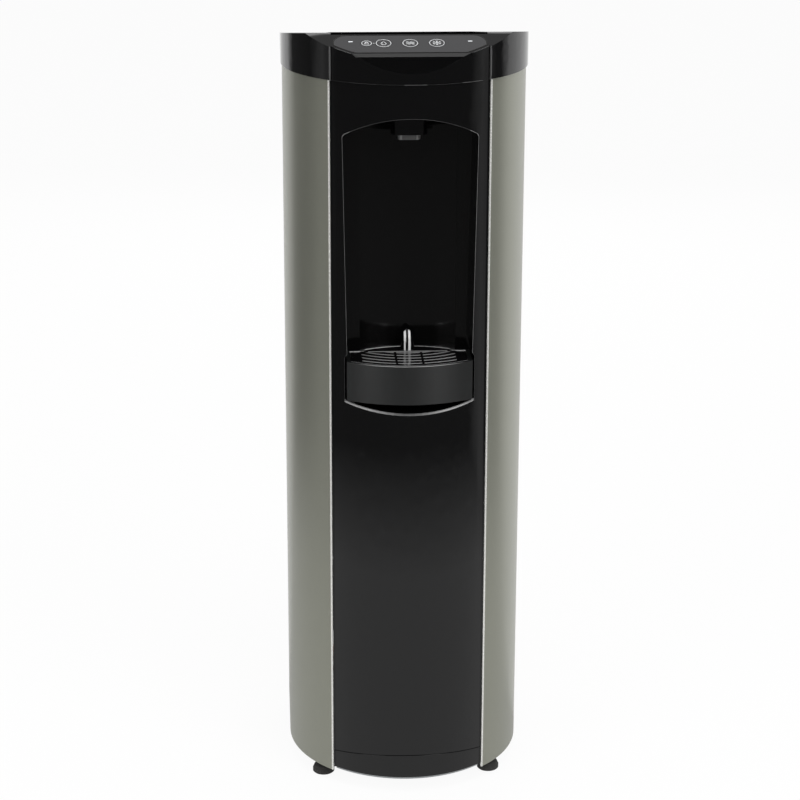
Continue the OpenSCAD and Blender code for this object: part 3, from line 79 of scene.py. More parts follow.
class ShaderBoard:
    """Places and links the nodes of one node tree."""

    def __init__(self, tree: bpy.types.NodeTree) -> None:
        """Keep the node tree to work on."""
        self.tree = tree

    def clear(self) -> None:
        """Remove every node of the tree."""
        for node in list(self.tree.nodes):
            self.tree.nodes.remove(node)

    def feed(self, node: bpy.types.Node, values: dict[str, object]) -> None:
        """Set or link some inputs of a node.

        Args:
            node: The node.
            values: Input sockets by name or number, with a value or an output socket to link.
        """
        for name, value in values.items():
            socket = node.inputs[int(name)] if name.isdigit() else node.inputs[name]
            if isinstance(value, bpy.types.NodeSocket):
                self.tree.links.new(value, socket)
            else:
                socket.default_value = value

    def node(self, kind: str, values: dict[str, object] | None = None, **settings: object) -> bpy.types.Node:
        """Add one node.

        Args:
            kind: The node's type name.
            values: Its inputs, as feed() takes them.
            **settings: The node's own properties.

        Returns:
            The new node.
        """
        made = self.tree.nodes.new(kind)
        for name, setting in settings.items():
            setattr(made, name, setting)
        self.feed(made, values or {})
        return made

    def math(self, operation: str, *values: object) -> bpy.types.NodeSocket:
        """Add one arithmetic node with its inputs in order, and give its result's socket."""
        inputs = {str(place): value for place, value in enumerate(values)}
        return self.node("ShaderNodeMath", inputs, operation=operation).outputs[0]

    def remap(self, value: bpy.types.NodeSocket, source: tuple, target: tuple) -> bpy.types.NodeSocket:
        """Map the source range onto the target range, held at both ends, and give the result's socket."""
        inputs = dict(zip(("From Min", "From Max", "To Min", "To Max"), (*source, *target)))
        return self.node("ShaderNodeMapRange", {"Value": value, **inputs}).outputs["Result"]

    def noise(
        self, vector: object, scale: object, detail: float, roughness: float = 0.5
    ) -> bpy.types.NodeSocket:
        """Add cloudy noise with the number of its finer layers and their strength, and give its socket."""
        inputs = {"Vector": vector, "Scale": scale, "Detail": detail, "Roughness": roughness}
        return self.node("ShaderNodeTexNoise", inputs).outputs["Fac"]

    def choose(self, share: object, low: object, high: object) -> bpy.types.NodeSocket:
        """Mix two numbers by the share of the second, and give the result's socket."""
        return self.node("ShaderNodeMix", {"0": share, "2": low, "3": high}, data_type="FLOAT").outputs[0]

    def blend(self, share: bpy.types.NodeSocket, low: object, high: object) -> bpy.types.NodeSocket:
        """Mix two colours.

        Args:
            share: How much of the second colour shows.
            low: First colour or socket.
            high: Second colour or socket.

        Returns:
            The mixed colour's socket.
        """
        mix = self.node("ShaderNodeMix", {"0": share}, data_type="RGBA")
        colours = [s for s in mix.inputs if s.type == "RGBA"]
        for socket, value in zip(colours, (low, high)):
            if isinstance(value, bpy.types.NodeSocket):
                self.tree.links.new(value, socket)
            else:
                socket.default_value = (*value, 1.0)
        return next(s for s in mix.outputs if s.type == "RGBA")


def new_group(
    name: str, inputs: Sequence[tuple[str, str]], outputs: Sequence[tuple[str, str]]
) -> tuple[ShaderBoard, bpy.types.Node, bpy.types.Node]:
    """Start a shader node group.

    Args:
        name: The group's name.
        inputs: Names and socket types that go in.
        outputs: Names and socket types that come out.

    Returns:
        The board, the input node and the output node.
    """
    tree = bpy.data.node_groups.new(name, "ShaderNodeTree")
    for socket, kind in inputs:
        tree.interface.new_socket(socket, in_out="INPUT", socket_type=kind)
    for socket, kind in outputs:
        tree.interface.new_socket(socket, in_out="OUTPUT", socket_type=kind)
    board = ShaderBoard(tree)
    return board, board.node("NodeGroupInput"), board.node("NodeGroupOutput")


FLOAT, VECTOR, COLOUR = "NodeSocketFloat", "NodeSocketVector", "NodeSocketColor"
VARIATION_IN = (("Vector", VECTOR), ("Scale", FLOAT), ("Low", FLOAT), ("High", FLOAT))
VARIATION_OUT = (("Roughness", FLOAT), ("Height", FLOAT), ("Tone", FLOAT))
DUST_IN = (("Color", COLOUR), ("Dust", COLOUR), ("Amount", FLOAT), ("Vector", VECTOR))
NOISE_RANGE = (0.3, 0.7)
GRIT_SCALE = 9.0
DUST_COLOUR = (0.42, 0.4, 0.37, 1.0)
DUST_FACING = (0.2, 1.0)
DUST_HEIGHT = (0.12, 0.0)
DUST_LOW = 0.7
DUST_PATCHES = 22.0


def variation_group(texture: Texture) -> bpy.types.NodeTree:
    """Build the group that spreads roughness, relief and tone over a surface.

    Args:
        texture: The layout of the variation.

    Returns:
        The node group.
    """
    board, start, end = new_group(f"surface_{texture.value}", VARIATION_IN, VARIATION_OUT)
    vector, scale = start.outputs["Vector"], start.outputs["Scale"]
    if texture is Texture.FLAKE:
        cells = board.node("ShaderNodeTexVoronoi", {"Vector": vector, "Scale": scale})
        tone = board.node("ShaderNodeSeparateColor", {"Color": cells.outputs["Color"]}).outputs["Red"]
        relief = cells.outputs["Distance"]
    elif texture is Texture.BRUSHED:
        tone = relief = board.noise(vector, scale, 2.0)
    else:
        tone = board.noise(vector, scale, 4.0, 0.6)
        relief = board.noise(vector, board.math("MULTIPLY", scale, GRIT_SCALE), 2.0)
    spread = board.remap(tone, NOISE_RANGE, (start.outputs["Low"], start.outputs["High"]))
    board.feed(end, {"Roughness": spread, "Height": relief, "Tone": tone})
    return board.tree


def dust_group() -> bpy.types.NodeTree:
    """Build the group that lays a little dust on surfaces that face up and near the floor.

    Returns:
        The node group.
    """
    board, start, end = new_group("settled_dust", DUST_IN, (("Color", COLOUR),))
    place = start.outputs["Vector"]
    normal = board.node("ShaderNodeNewGeometry").outputs["Normal"]
    facing = board.node("ShaderNodeSeparateXYZ", {"Vector": normal}).outputs["Z"]
    height = board.node("ShaderNodeSeparateXYZ", {"Vector": place}).outputs["Z"]
    up = board.remap(facing, DUST_FACING, (0.0, 1.0))
    low = board.remap(height, DUST_HEIGHT, (0.0, DUST_LOW))
    broken = board.math("MULTIPLY", board.math("MAXIMUM", up, low), board.noise(place, DUST_PATCHES, 5.0))
    share = board.math("MULTIPLY", broken, start.outputs["Amount"])
    board.feed(end, {"Color": board.blend(share, start.outputs["Color"], start.outputs["Dust"])})
    return board.tree


VARIATIONS = {texture: variation_group(texture) for texture in Texture}
DUST = dust_group()


@dataclass(frozen=True)
class Finish:
    """One finish: its two tones, how it shines, and the layout and size of its small variation."""

    name: str
    slot: str
    tone: Colour
    second: Colour
    roughness: Pair
    metallic: float = 0.0
    texture: Texture = Texture.CLOUD
    scale: float = 40.0
    relief: float = 0.00002
    stretch: Point = (1.0, 1.0, 1.0)
    coat: float = 0.0
    coat_roughness: float = 0.05
    dust: float = 0.15
    glow: float = 0.0

    def material(self) -> bpy.types.Material:
        """Build the material, once.

        Returns:
            The material of this finish.
        """
        if self.name in bpy.data.materials:
            return bpy.data.materials[self.name]
        made = bpy.data.materials.new(self.name)
        made.use_nodes = True
        board = ShaderBoard(made.node_tree)
        shader = made.node_tree.nodes["Principled BSDF"]
        place = board.node("ShaderNodeTexCoord").outputs["Object"]
        turned = board.node("ShaderNodeMapping", {"Vector": place, "Scale": self.stretch}).outputs["Vector"]
        low, high = self.roughness
        layout = {"Vector": turned, "Scale": self.scale, "Low": low, "High": high}
        spread = board.node("ShaderNodeGroup", layout, node_tree=VARIATIONS[self.texture]).outputs
        tones = board.blend(spread["Tone"], self.second, self.tone)
        settled = {"Color": tones, "Vector": place, "Dust": DUST_COLOUR, "Amount": self.dust}
        dusted = board.node("ShaderNodeGroup", settled, node_tree=DUST).outputs["Color"]
        # Painted highlight: the base colour is mixed towards white by the share that the faces carry.
        lip = board.node("ShaderNodeAttribute", attribute_name=PAINTED_HIGHLIGHT_LAYER).outputs["Fac"]
        relief = {"Height": spread["Height"], "Strength": 1.0, "Distance": self.relief}
        surface = {
            "Base Color": board.blend(lip, dusted, WHITE),
            "Roughness": spread["Roughness"],
            "Normal": board.node("ShaderNodeBump", relief).outputs["Normal"],
            "Metallic": self.metallic,
            "Coat Weight": self.coat,
            "Coat Roughness": self.coat_roughness,
        }
        board.feed(shader, surface)
        if self.glow:
            board.feed(shader, {"Emission Color": (*self.tone, 1.0), "Emission Strength": self.glow})
        return made


PIANO_BLACK = Finish(
    "piano_black", "gloss_black", (0.0022, 0.0022, 0.0024), (0.0017, 0.0017, 0.0018), (0.04, 0.07),
    scale=9, relief=0.000004, dust=0.004,
)
LINER_BLACK = Finish(
    "liner_black", "gloss_black", (0.0024, 0.0024, 0.0024), (0.0018, 0.0018, 0.0018), (0.06, 0.1),
    scale=12, relief=0.000006, dust=0.004,
)
CHAMPAGNE = Finish(
    "champagne_coat", "champagne_panel", (0.335, 0.34, 0.285), (0.3, 0.305, 0.255), (0.34, 0.42),
    metallic=0.7, texture=Texture.FLAKE, scale=1600, relief=0.000004, coat=0.15, dust=0.02,
)
# A paler copy of the champagne panel's metal for the hem beads: the beads are the real folded edges, and their
# lighter tone paints the hems' highlight lines.
HEM_PAINTED_HIGHLIGHT = Finish(
    "hem_painted_highlight", "champagne_panel", (0.86, 0.86, 0.82), (0.8, 0.8, 0.76), (0.2, 0.28),
    metallic=0.4, texture=Texture.FLAKE, scale=1600, relief=0.000002, coat=0.2,
)
CHARCOAL = Finish(
    "charcoal_moulding", "charcoal_plastic", (0.0065, 0.0075, 0.0075), (0.005, 0.0055, 0.0055), (0.38, 0.46),
    scale=320, relief=0.00005, dust=0.0,
)
GRILLE_BLACK = Finish(
    "grille_black", "charcoal_plastic", (0.003, 0.003, 0.0033), (0.002, 0.002, 0.0022), (0.14, 0.2),
    scale=60, relief=0.00001, dust=0.0,
)
LENS_GREY = Finish(
    "lens_grey_gloss", "lens_grey", (0.044, 0.044, 0.046), (0.04, 0.04, 0.042), (0.07, 0.11),
    scale=12, relief=0.000003, coat=0.3, dust=0.01,
)
ICON_WHITE = Finish(
    "icon_print", "lens_grey", (0.72, 0.73, 0.74), (0.62, 0.63, 0.64), (0.35, 0.45),
    scale=900, relief=0.000004, dust=0.0,
)
STAINLESS = Finish(
    "stainless", "steel", (0.56, 0.57, 0.58), (0.44, 0.45, 0.46), (0.2, 0.34),
    metallic=1.0, texture=Texture.BRUSHED, scale=60, stretch=(1, 1, 22), relief=0.00002,
)
ZINC = Finish(
    "zinc_spangle", "zinc_sheet", (0.5, 0.52, 0.53), (0.36, 0.375, 0.39), (0.32, 0.5),
    metallic=0.9, texture=Texture.FLAKE, scale=70, relief=0.00001, dust=0.12,
)
BLACK_ENAMEL = Finish(
    "black_enamel", "black_metal", (0.022, 0.022, 0.023), (0.012, 0.012, 0.012), (0.3, 0.42),
    scale=180, relief=0.00004, dust=0.2,
)
SHELL_PAINT = Finish(
    "shell_paint", "compressor_shell", (0.02, 0.02, 0.021), (0.012, 0.012, 0.013), (0.22, 0.36),
    scale=120, relief=0.00006, coat=0.3, dust=0.25,
)
COPPER = Finish(
    "drawn_copper", "copper", (0.72, 0.36, 0.22), (0.42, 0.19, 0.11), (0.24, 0.42),
    metallic=1.0, scale=70, relief=0.00002,
)
FOAM = Finish(
    "cut_foam", "foam", (0.74, 0.68, 0.5), (0.6, 0.52, 0.35), (0.85, 0.98),
    texture=Texture.FLAKE, scale=700, relief=0.0003,
)
WHITE_PLASTIC = Finish(
    "white_moulding", "white_plastic", (0.78, 0.78, 0.76), (0.7, 0.7, 0.67), (0.3, 0.42),
    scale=90, relief=0.00002,
)
BLUE_PLASTIC = Finish(
    "blue_moulding", "blue_plastic", (0.03, 0.14, 0.42), (0.02, 0.1, 0.33), (0.3, 0.4),
    scale=90, relief=0.00002,
)
BOARD_GREEN = Finish(
    "solder_mask", "board", (0.015, 0.12, 0.05), (0.01, 0.07, 0.03), (0.25, 0.4),
    texture=Texture.BRUSHED, scale=140, stretch=(1, 1, 6), relief=0.00003,
)
BLACK_PLASTIC = Finish(
    "black_moulding", "black_plastic", (0.02, 0.02, 0.02), (0.013, 0.013, 0.013), (0.34, 0.48),
    scale=240, relief=0.00004, dust=0.12,
)
RED_PLASTIC = Finish(
    "red_moulding", "red_plastic", (0.5, 0.02, 0.015), (0.38, 0.012, 0.01), (0.22, 0.32),
    scale=90, relief=0.00001,
)
RUBBER = Finish(
    "moulded_rubber", "rubber", (0.014, 0.014, 0.014), (0.009, 0.009, 0.009), (0.6, 0.78),
    scale=420, relief=0.00008, dust=0.12,
)
TUBE_WHITE = Finish(
    "milky_tube", "white_plastic", (0.82, 0.85, 0.88), (0.72, 0.76, 0.8), (0.18, 0.3),
    scale=60, relief=0.00001,
)
LIGHT_GUIDE = Finish(
    "lamp_guide", "light_guide", (0.85, 0.87, 0.9), (0.75, 0.78, 0.82), (0.2, 0.3),
    scale=300, relief=0.00001, glow=0.35,
)
# A black bead laid in the groove round the lens, which paints the groove's shade as a dark line.
GROOVE_SHADE_BLACK = Finish(
    "groove_shade_black", "rubber", (0.004, 0.004, 0.004), (0.003, 0.003, 0.003), (0.5, 0.6),
    scale=300, relief=0.00001,
)
NOZZLE_SATIN = Finish(
    "nozzle_satin", "steel", (0.34, 0.34, 0.34), (0.26, 0.26, 0.26), (0.3, 0.4),
    metallic=0.9, texture=Texture.BRUSHED, scale=120, stretch=(1, 1, 14), relief=0.00001,
)


def link_piece(name: str, mesh: bpy.types.Mesh, finish: Finish) -> bpy.types.Object:
    """Put a mesh into the scene as a piece at the origin.

    Args:
        name: The piece's name.
        mesh: Its mesh, in place.
        finish: Its finish.

    Returns:
        The new object.
    """
    mesh.materials.clear()
    mesh.materials.append(finish.material())
    piece = bpy.data.objects.new(name, mesh)
    bpy.context.scene.collection.objects.link(piece)
    return piece


# Painted highlight of a rounding by place, and painted glint of a face by place and normal.
PaintedHighlightLevel = Callable[[Vector], float]
PaintedGlintLevel = Callable[[Vector, Vector], float]


def round_edges(
    form: bmesh.types.BMesh,
    edges: list[bmesh.types.BMEdge],
    width: float,
    segments: int,
    lip: float | PaintedHighlightLevel,
) -> None:
    """Round some edges of a mesh, with a painted highlight on the rounding.

    Args:
        form: The mesh.
        edges: The edges.
        width: Width of the rounding in millimetres.
        segments: Faces across it.
        lip: The painted highlight of the rounding, a share of white mixed into its base colour, or that share by
            place. Its faces carry it for the material.
    """
    layer = form.faces.layers.float.get(PAINTED_HIGHLIGHT_LAYER) or form.faces.layers.float.new(PAINTED_HIGHLIGHT_LAYER)
    done = bmesh.ops.bevel(
        form, geom=edges, offset=width * MM, offset_type="OFFSET", segments=segments, profile=0.5,
        affect="EDGES", clamp_overlap=True, material=-1,
    )
    for face in done["faces"]:
        face[layer] = lip(face.calc_center_median() / MM) if callable(lip) else lip


EdgeTest = Callable[[Vector, Vector], bool]


@dataclass(frozen=True)
class Rounding:
    """A rounding that only some edges get, with its painted highlight."""

    test: EdgeTest
    width: float
    lip: float | PaintedHighlightLevel = 0.0
    over: float = 12.0
    segments: int = 5


def sharp_edges(form: bmesh.types.BMesh, over: float) -> list[bmesh.types.BMEdge]:
    """List the edges that turn more than a given number of degrees."""
    return [e for e in form.edges if len(e.link_faces) == 2 and e.calc_face_angle(0.0) > math.radians(over)]


def softened(
    node: str,
    finish: Finish,
    width: float,
    segments: int = 2,
    over: float = 32.0,
    special: Sequence[Rounding] = (),
    lip: float = 0.0,
    streak: PaintedGlintLevel | None = None,
) -> bpy.types.Object:
    """Copy a solid and round its sharp edges, as a moulded or folded piece has them.

    Args:
        node: The solid's name.
        finish: Finish of the new piece.
        width: Width of the rounding in millimetres.
        segments: Faces across the rounding.
        over: Edges that turn more than this many degrees are rounded.
        special: Roundings for some edges, made before the rest.
        lip: The painted highlight of the other rounded edges, a share of white mixed into their base colour.
        streak: Painted glint of a face by its middle and its normal, a share of white in its base colour, for
            glints on a round part.

    Returns:
        The new piece.
    """
    form = bmesh.new()
    form.from_mesh(frame["nodes"][node].data)
    bmesh.ops.remove_doubles(form, verts=form.verts, dist=SAME_SPOT)
    bmesh.ops.dissolve_limit(form, angle_limit=FLAT_TURN, verts=form.verts, edges=form.edges)
    for rounding in special:
        chosen = [e for e in sharp_edges(form, rounding.over) if rounding.test(*(v.co / MM for v in e.verts))]
        LOG.info("%s: %d edges get a rounding of %.1f mm", node, len(chosen), rounding.width)
        round_edges(form, chosen, rounding.width, rounding.segments, rounding.lip)
    round_edges(form, sharp_edges(form, over), width, segments, lip)
    # Painted glints: faces picked by place and normal get a share of white in their base colour.
    if streak:
        layer = form.faces.layers.float[PAINTED_HIGHLIGHT_LAYER]
        for face in form.faces:
            face[layer] = max(face[layer], streak(face.calc_center_median() / MM, face.normal))
    mesh = bpy.data.meshes.new(f"{node}_soft")
    form.to_mesh(mesh)
    form.free()
    mesh.shade_smooth()
    mesh.set_sharp_from_angle(angle=SMOOTH_TURN)
    piece = link_piece(f"{node}_soft", mesh, finish)
    even = piece.modifiers.new("even_normals", "WEIGHTED_NORMAL")
    even.keep_sharp = True
    even.weight = NORMAL_WEIGHT
    return piece


def swept_mesh(name: str, runs: Iterable[Run], radius: float, fineness: int = 4) -> bpy.types.Mesh:
    """Sweep a round section along some runs of points.

    Args:
        name: The mesh's name.
        runs: Points in millimetres, each run with True where it closes on itself.
        radius: Radius of the section in millimetres.
        fineness: Steps in a quarter of the section.

    Returns:
        The mesh, in metres and shaded smooth.
    """
    curve = bpy.data.curves.new(name, "CURVE")
    curve.dimensions = "3D"
    curve.bevel_depth = radius
    curve.bevel_resolution = fineness
    curve.use_fill_caps = True
    for points, closed in runs:
        spline = curve.splines.new("POLY")
        spline.points.add(len(points) - 1)
        spline.use_cyclic_u = closed
        for at, point in zip(spline.points, points):
            at.co = (*point, 1.0)
    draft = bpy.data.objects.new(f"{name}_draft", curve)
    bpy.context.scene.collection.objects.link(draft)
    ready = draft.evaluated_get(bpy.context.evaluated_depsgraph_get())
    mesh = bpy.data.meshes.new_from_object(ready)
    bpy.data.objects.remove(draft)
    mesh.transform(Matrix.Diagonal((MM, MM, MM, 1.0)))
    mesh.shade_smooth()
    return mesh


def line_work(name: str, strokes: Iterable[Stroke], width: float, place: Matrix) -> bpy.types.Object:
    """Lay printed lines on a face.

    Args:
        name: The piece's name.
        strokes: Lines in millimetres on the face, each with True where it closes on itself.
        width: Width of the line in millimetres.
        place: Matrix of the face, with its normal along Z.

    Returns:
        The new piece.
    """
    runs = [([(x, y, 0.0) for x, y in points], closed) for points, closed in strokes]
    mesh = swept_mesh(name, runs, width / 2, 2)
    mesh.transform(place @ Matrix.Diagonal((1.0, 1.0, PRINT_FLATNESS, 1.0)))
    return link_piece(name, mesh, ICON_WHITE)


def arc(
    x: float, y: float, radius: float, start: float = 0.0, end: float = 360.0, count: int = 40
) -> list[Pair]:
    """Points along an arc.

    Args:
        x: Centre sideways.
        y: Centre upwards.
        radius: Radius.
        start: First angle in degrees.
        end: Last angle in degrees.
        count: Number of steps.

    Returns:
        The points. A full turn leaves out its last point, which is the first.
    """
    steps = count if end - start >= 360.0 else count + 1
    turns = [math.radians(start + (end - start) * k / count) for k in range(steps)]
    return [(x + radius * math.cos(t), y + radius * math.sin(t)) for t in turns]


def bent(points: Sequence[Point], radius: float, steps: int = 7) -> list[Point]:
    """Turn the corners of a run into bends, as a bent tube has them.

    Args:
        points: The run, in millimetres.
        radius: How far before and after a corner its bend starts and ends, where there is room.
        steps: Steps in a bend.

    Returns:
        The run with its bends.
    """
    spots = [Vector(point) for point in points]
    run = [spots[0]]
    for before, corner, after in zip(spots, spots[1:], spots[2:]):
        room = min(radius, (before - corner).length * 0.45, (after - corner).length * 0.45)
        start = corner + (before - corner).normalized() * room
        end = corner + (after - corner).normalized() * room
        for k in range(steps + 1):
            share = k / steps
            run.append(start.lerp(corner, share).lerp(corner.lerp(end, share), share))
    run.append(spots[-1])
    return [tuple(spot) for spot in run]


@dataclass
class SubAssembly:
    """Pieces that are dressed or made together, and the body that carries them."""

    body: str = "cabinet"

    def dress(self, finish: Finish, *nodes: str) -> None:
        """Give carried-over solids their finish.

        Args:
            finish: The finish.
            *nodes: The solids' names.
        """
        for node in nodes:
            mesh = frame["nodes"][node].data
            mesh.materials.clear()
            mesh.materials.append(finish.material())
            LOG.info("dressed %s with %s", node, finish.name)

    def seat(self, piece: bpy.types.Object, finish: Finish, *replaced: str, body: str | None = None) -> None:
        """Let a new piece ride on its body and hide the solids that it stands for.

        Args:
            piece: The piece, in place.
            finish: Its finish, whose name only goes into the log.
            *replaced: Solids that it stands for.
            body: The body that carries it, if not the sub-assembly's own.
        """
        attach(piece, body or self.body)
        if replaced:
            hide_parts(*replaced)
        LOG.info("made %s with %s", piece.name, finish.name)

    def soften(
        self, node: str, finish: Finish, width: float, body: str | None = None, **options: object
    ) -> None:
        """Make a solid's rounded copy with the values of softened(), and let it stand for the solid."""
        self.seat(softened(node, finish, width, **options), finish, node, body=body)

    def sweep(
        self, name: str, runs: Iterable[Run], radius: float, finish: Finish, *replaced: str, fineness: int = 4
    ) -> None:
        """Make and seat a piece with a round section along some runs, as swept_mesh() takes them."""
        mesh = swept_mesh(name, runs, radius, fineness)
        self.seat(link_piece(name, mesh, finish), finish, *replaced)


@dataclass
class CabinetShell(SubAssembly):
    """Side panels, back, base and shelves."""

    hem_rounding: float = 0.3
    skirt_rounding: float = 0.8
    bead_x: float = 100.4
    bead_y: float = -131.85
    bead_radius: float = 1.46
    bead_z: Pair = (18.6, 951.6)

    def build(self) -> None:
        """Make and dress the shell."""
        self.soften("side_panel_left", CHAMPAGNE, self.hem_rounding)
        self.soften("side_panel_right", CHAMPAGNE, self.hem_rounding)
        # Hem beads, whose lighter tone paints the hems' highlight lines.
        for name, x in (("left", -self.bead_x), ("right", self.bead_x)):
            run = [(x, self.bead_y, z) for z in self.bead_z]
            self.sweep(f"hem_{name}", [(run, False)], self.bead_radius, HEM_PAINTED_HIGHLIGHT)
        self.soften("base_skirt", PIANO_BLACK, self.skirt_rounding)
        self.dress(ZINC, "rear_panel", "base_pan", "bay_shelf", "tank_shelf", "case_screws", "foot_nuts")


@dataclass
class FrontColumn(SubAssembly):
    """Gloss front with its arched niche and nozzle."""

    opening_rounding: float = 2.4
    # Painted highlights on the rounded rim of the niche, paler at its ends and up its sides, and on the seam with
    # two painted glints.
    smile_lips: Pair = (0.1, 0.3)
    smile_bends: Pair = (10.0, 50.0)
    smile_middle: float = -4.0
    arch_lips: Pair = (0.06, 0.34)
    arch_rise: Pair = (690.0, 800.0)
    arch_side: float = 74.0
    smile_top: float = 556.0
    seam_rounding: float = 0.9
    seam_lips: Pair = (0.04, 0.22)
    seam_glints: tuple[Pair, ...] = ((6.0, 13.0), (77.0, 11.0))
    # Painted glint on the nozzle's two rounded ends: its share of white and the normals that get it.
    nozzle_lip: float = 0.6
    nozzle_front: float = -0.1
    nozzle_turn: Pair = (0.25, 0.95)
    seam_low: float = 951.0
    panel_rounding: float = 0.4
    opening_half: float = 88.0
    half_width: float = 153.8
    half_depth: float = 171.8
    outer_share: float = 0.99
    opening_low: float = 528.0
    opening_high: float = 915.0
    liner_rounding: float = 0.3
    nozzle_rounding: float = 0.6

    def build(self) -> None:
        """Make and dress the column."""
        # The roundings of the rim and of the seam carry painted highlights.
        self.soften(
            "front_panel", PIANO_BLACK, self.panel_rounding,
            special=(
                Rounding(self.on_smile, self.opening_rounding, self.smile_lip),
                Rounding(self.on_arch, self.opening_rounding, self.arch_level),
                Rounding(self.on_seam, self.seam_rounding, self.seam_level),
            ),
        )
        self.soften("niche_liner", LINER_BLACK, self.liner_rounding)
        self.soften("nozzle_housing", PIANO_BLACK, self.nozzle_rounding)
        self.soften("nozzle_tip", NOZZLE_SATIN, self.nozzle_rounding, streak=self.nozzle_glint)

    def on_smile(self, first: Vector, second: Vector) -> bool:
        """Say whether an edge is on the rim's lower curve, from its two ends."""
        return self.on_rim(first, second) and max(first.z, second.z) < self.smile_top

    def smile_lip(self, place: Vector) -> float:
        """Give the painted highlight of the rim's lower curve, which is paler towards its two ends."""
        near, away = self.smile_bends
        share = (abs(place.x - self.smile_middle) - near) / (away - near)
        low, high = self.smile_lips
        return low + (high - low) * min(max(share, 0.0), 1.0)

    def arch_level(self, place: Vector) -> float:
        """Give the painted highlight of the rim's sides and arch, which is paler up the sides."""
        low, high = self.arch_lips
        start, end = self.arch_rise
        share = (place.z - start) / (end - start) if abs(place.x) > self.arch_side else 0.0
        return low + (high - low) * min(max(share, 0.0), 1.0)

    def seam_level(self, place: Vector) -> float:
        """Give the painted highlight of the seam's edge, which has two painted glints."""
        glint = any(abs(place.x - middle) < half for middle, half in self.seam_glints)
        return self.seam_lips[1] if glint else self.seam_lips[0]

    def nozzle_glint(self, _place: Vector, normal: Vector) -> float:
        """Give the painted glint on the nozzle's rounded ends."""
        low, high = self.nozzle_turn
        return self.nozzle_lip if normal.y < self.nozzle_front and low < abs(normal.x) < high else 0.0

    def on_arch(self, first: Vector, second: Vector) -> bool:
        """Say whether an edge is on the rim's sides or arch, from its two ends."""
        return self.on_rim(first, second) and max(first.z, second.z) >= self.smile_top

    def on_seam(self, first: Vector, second: Vector) -> bool:
        """Say whether an edge is the front panel's upper front edge, from its two ends."""
        return all(end.z > self.seam_low and self.outside(end) for end in (first, second))

    def outside(self, point: Vector) -> bool:
        """Say whether a point is on the panel's outer face."""
        return (point.x / self.half_width) ** 2 + (point.y / self.half_depth) ** 2 > self.outer_share

    def on_rim(self, first: Vector, second: Vector) -> bool:
        """Say whether an edge is on the outer rim of the niche's opening, from its two ends."""
        return all(
            abs(end.x) < self.opening_half
            and self.opening_low < end.z < self.opening_high
            and self.outside(end)
            for end in (first, second)
        )


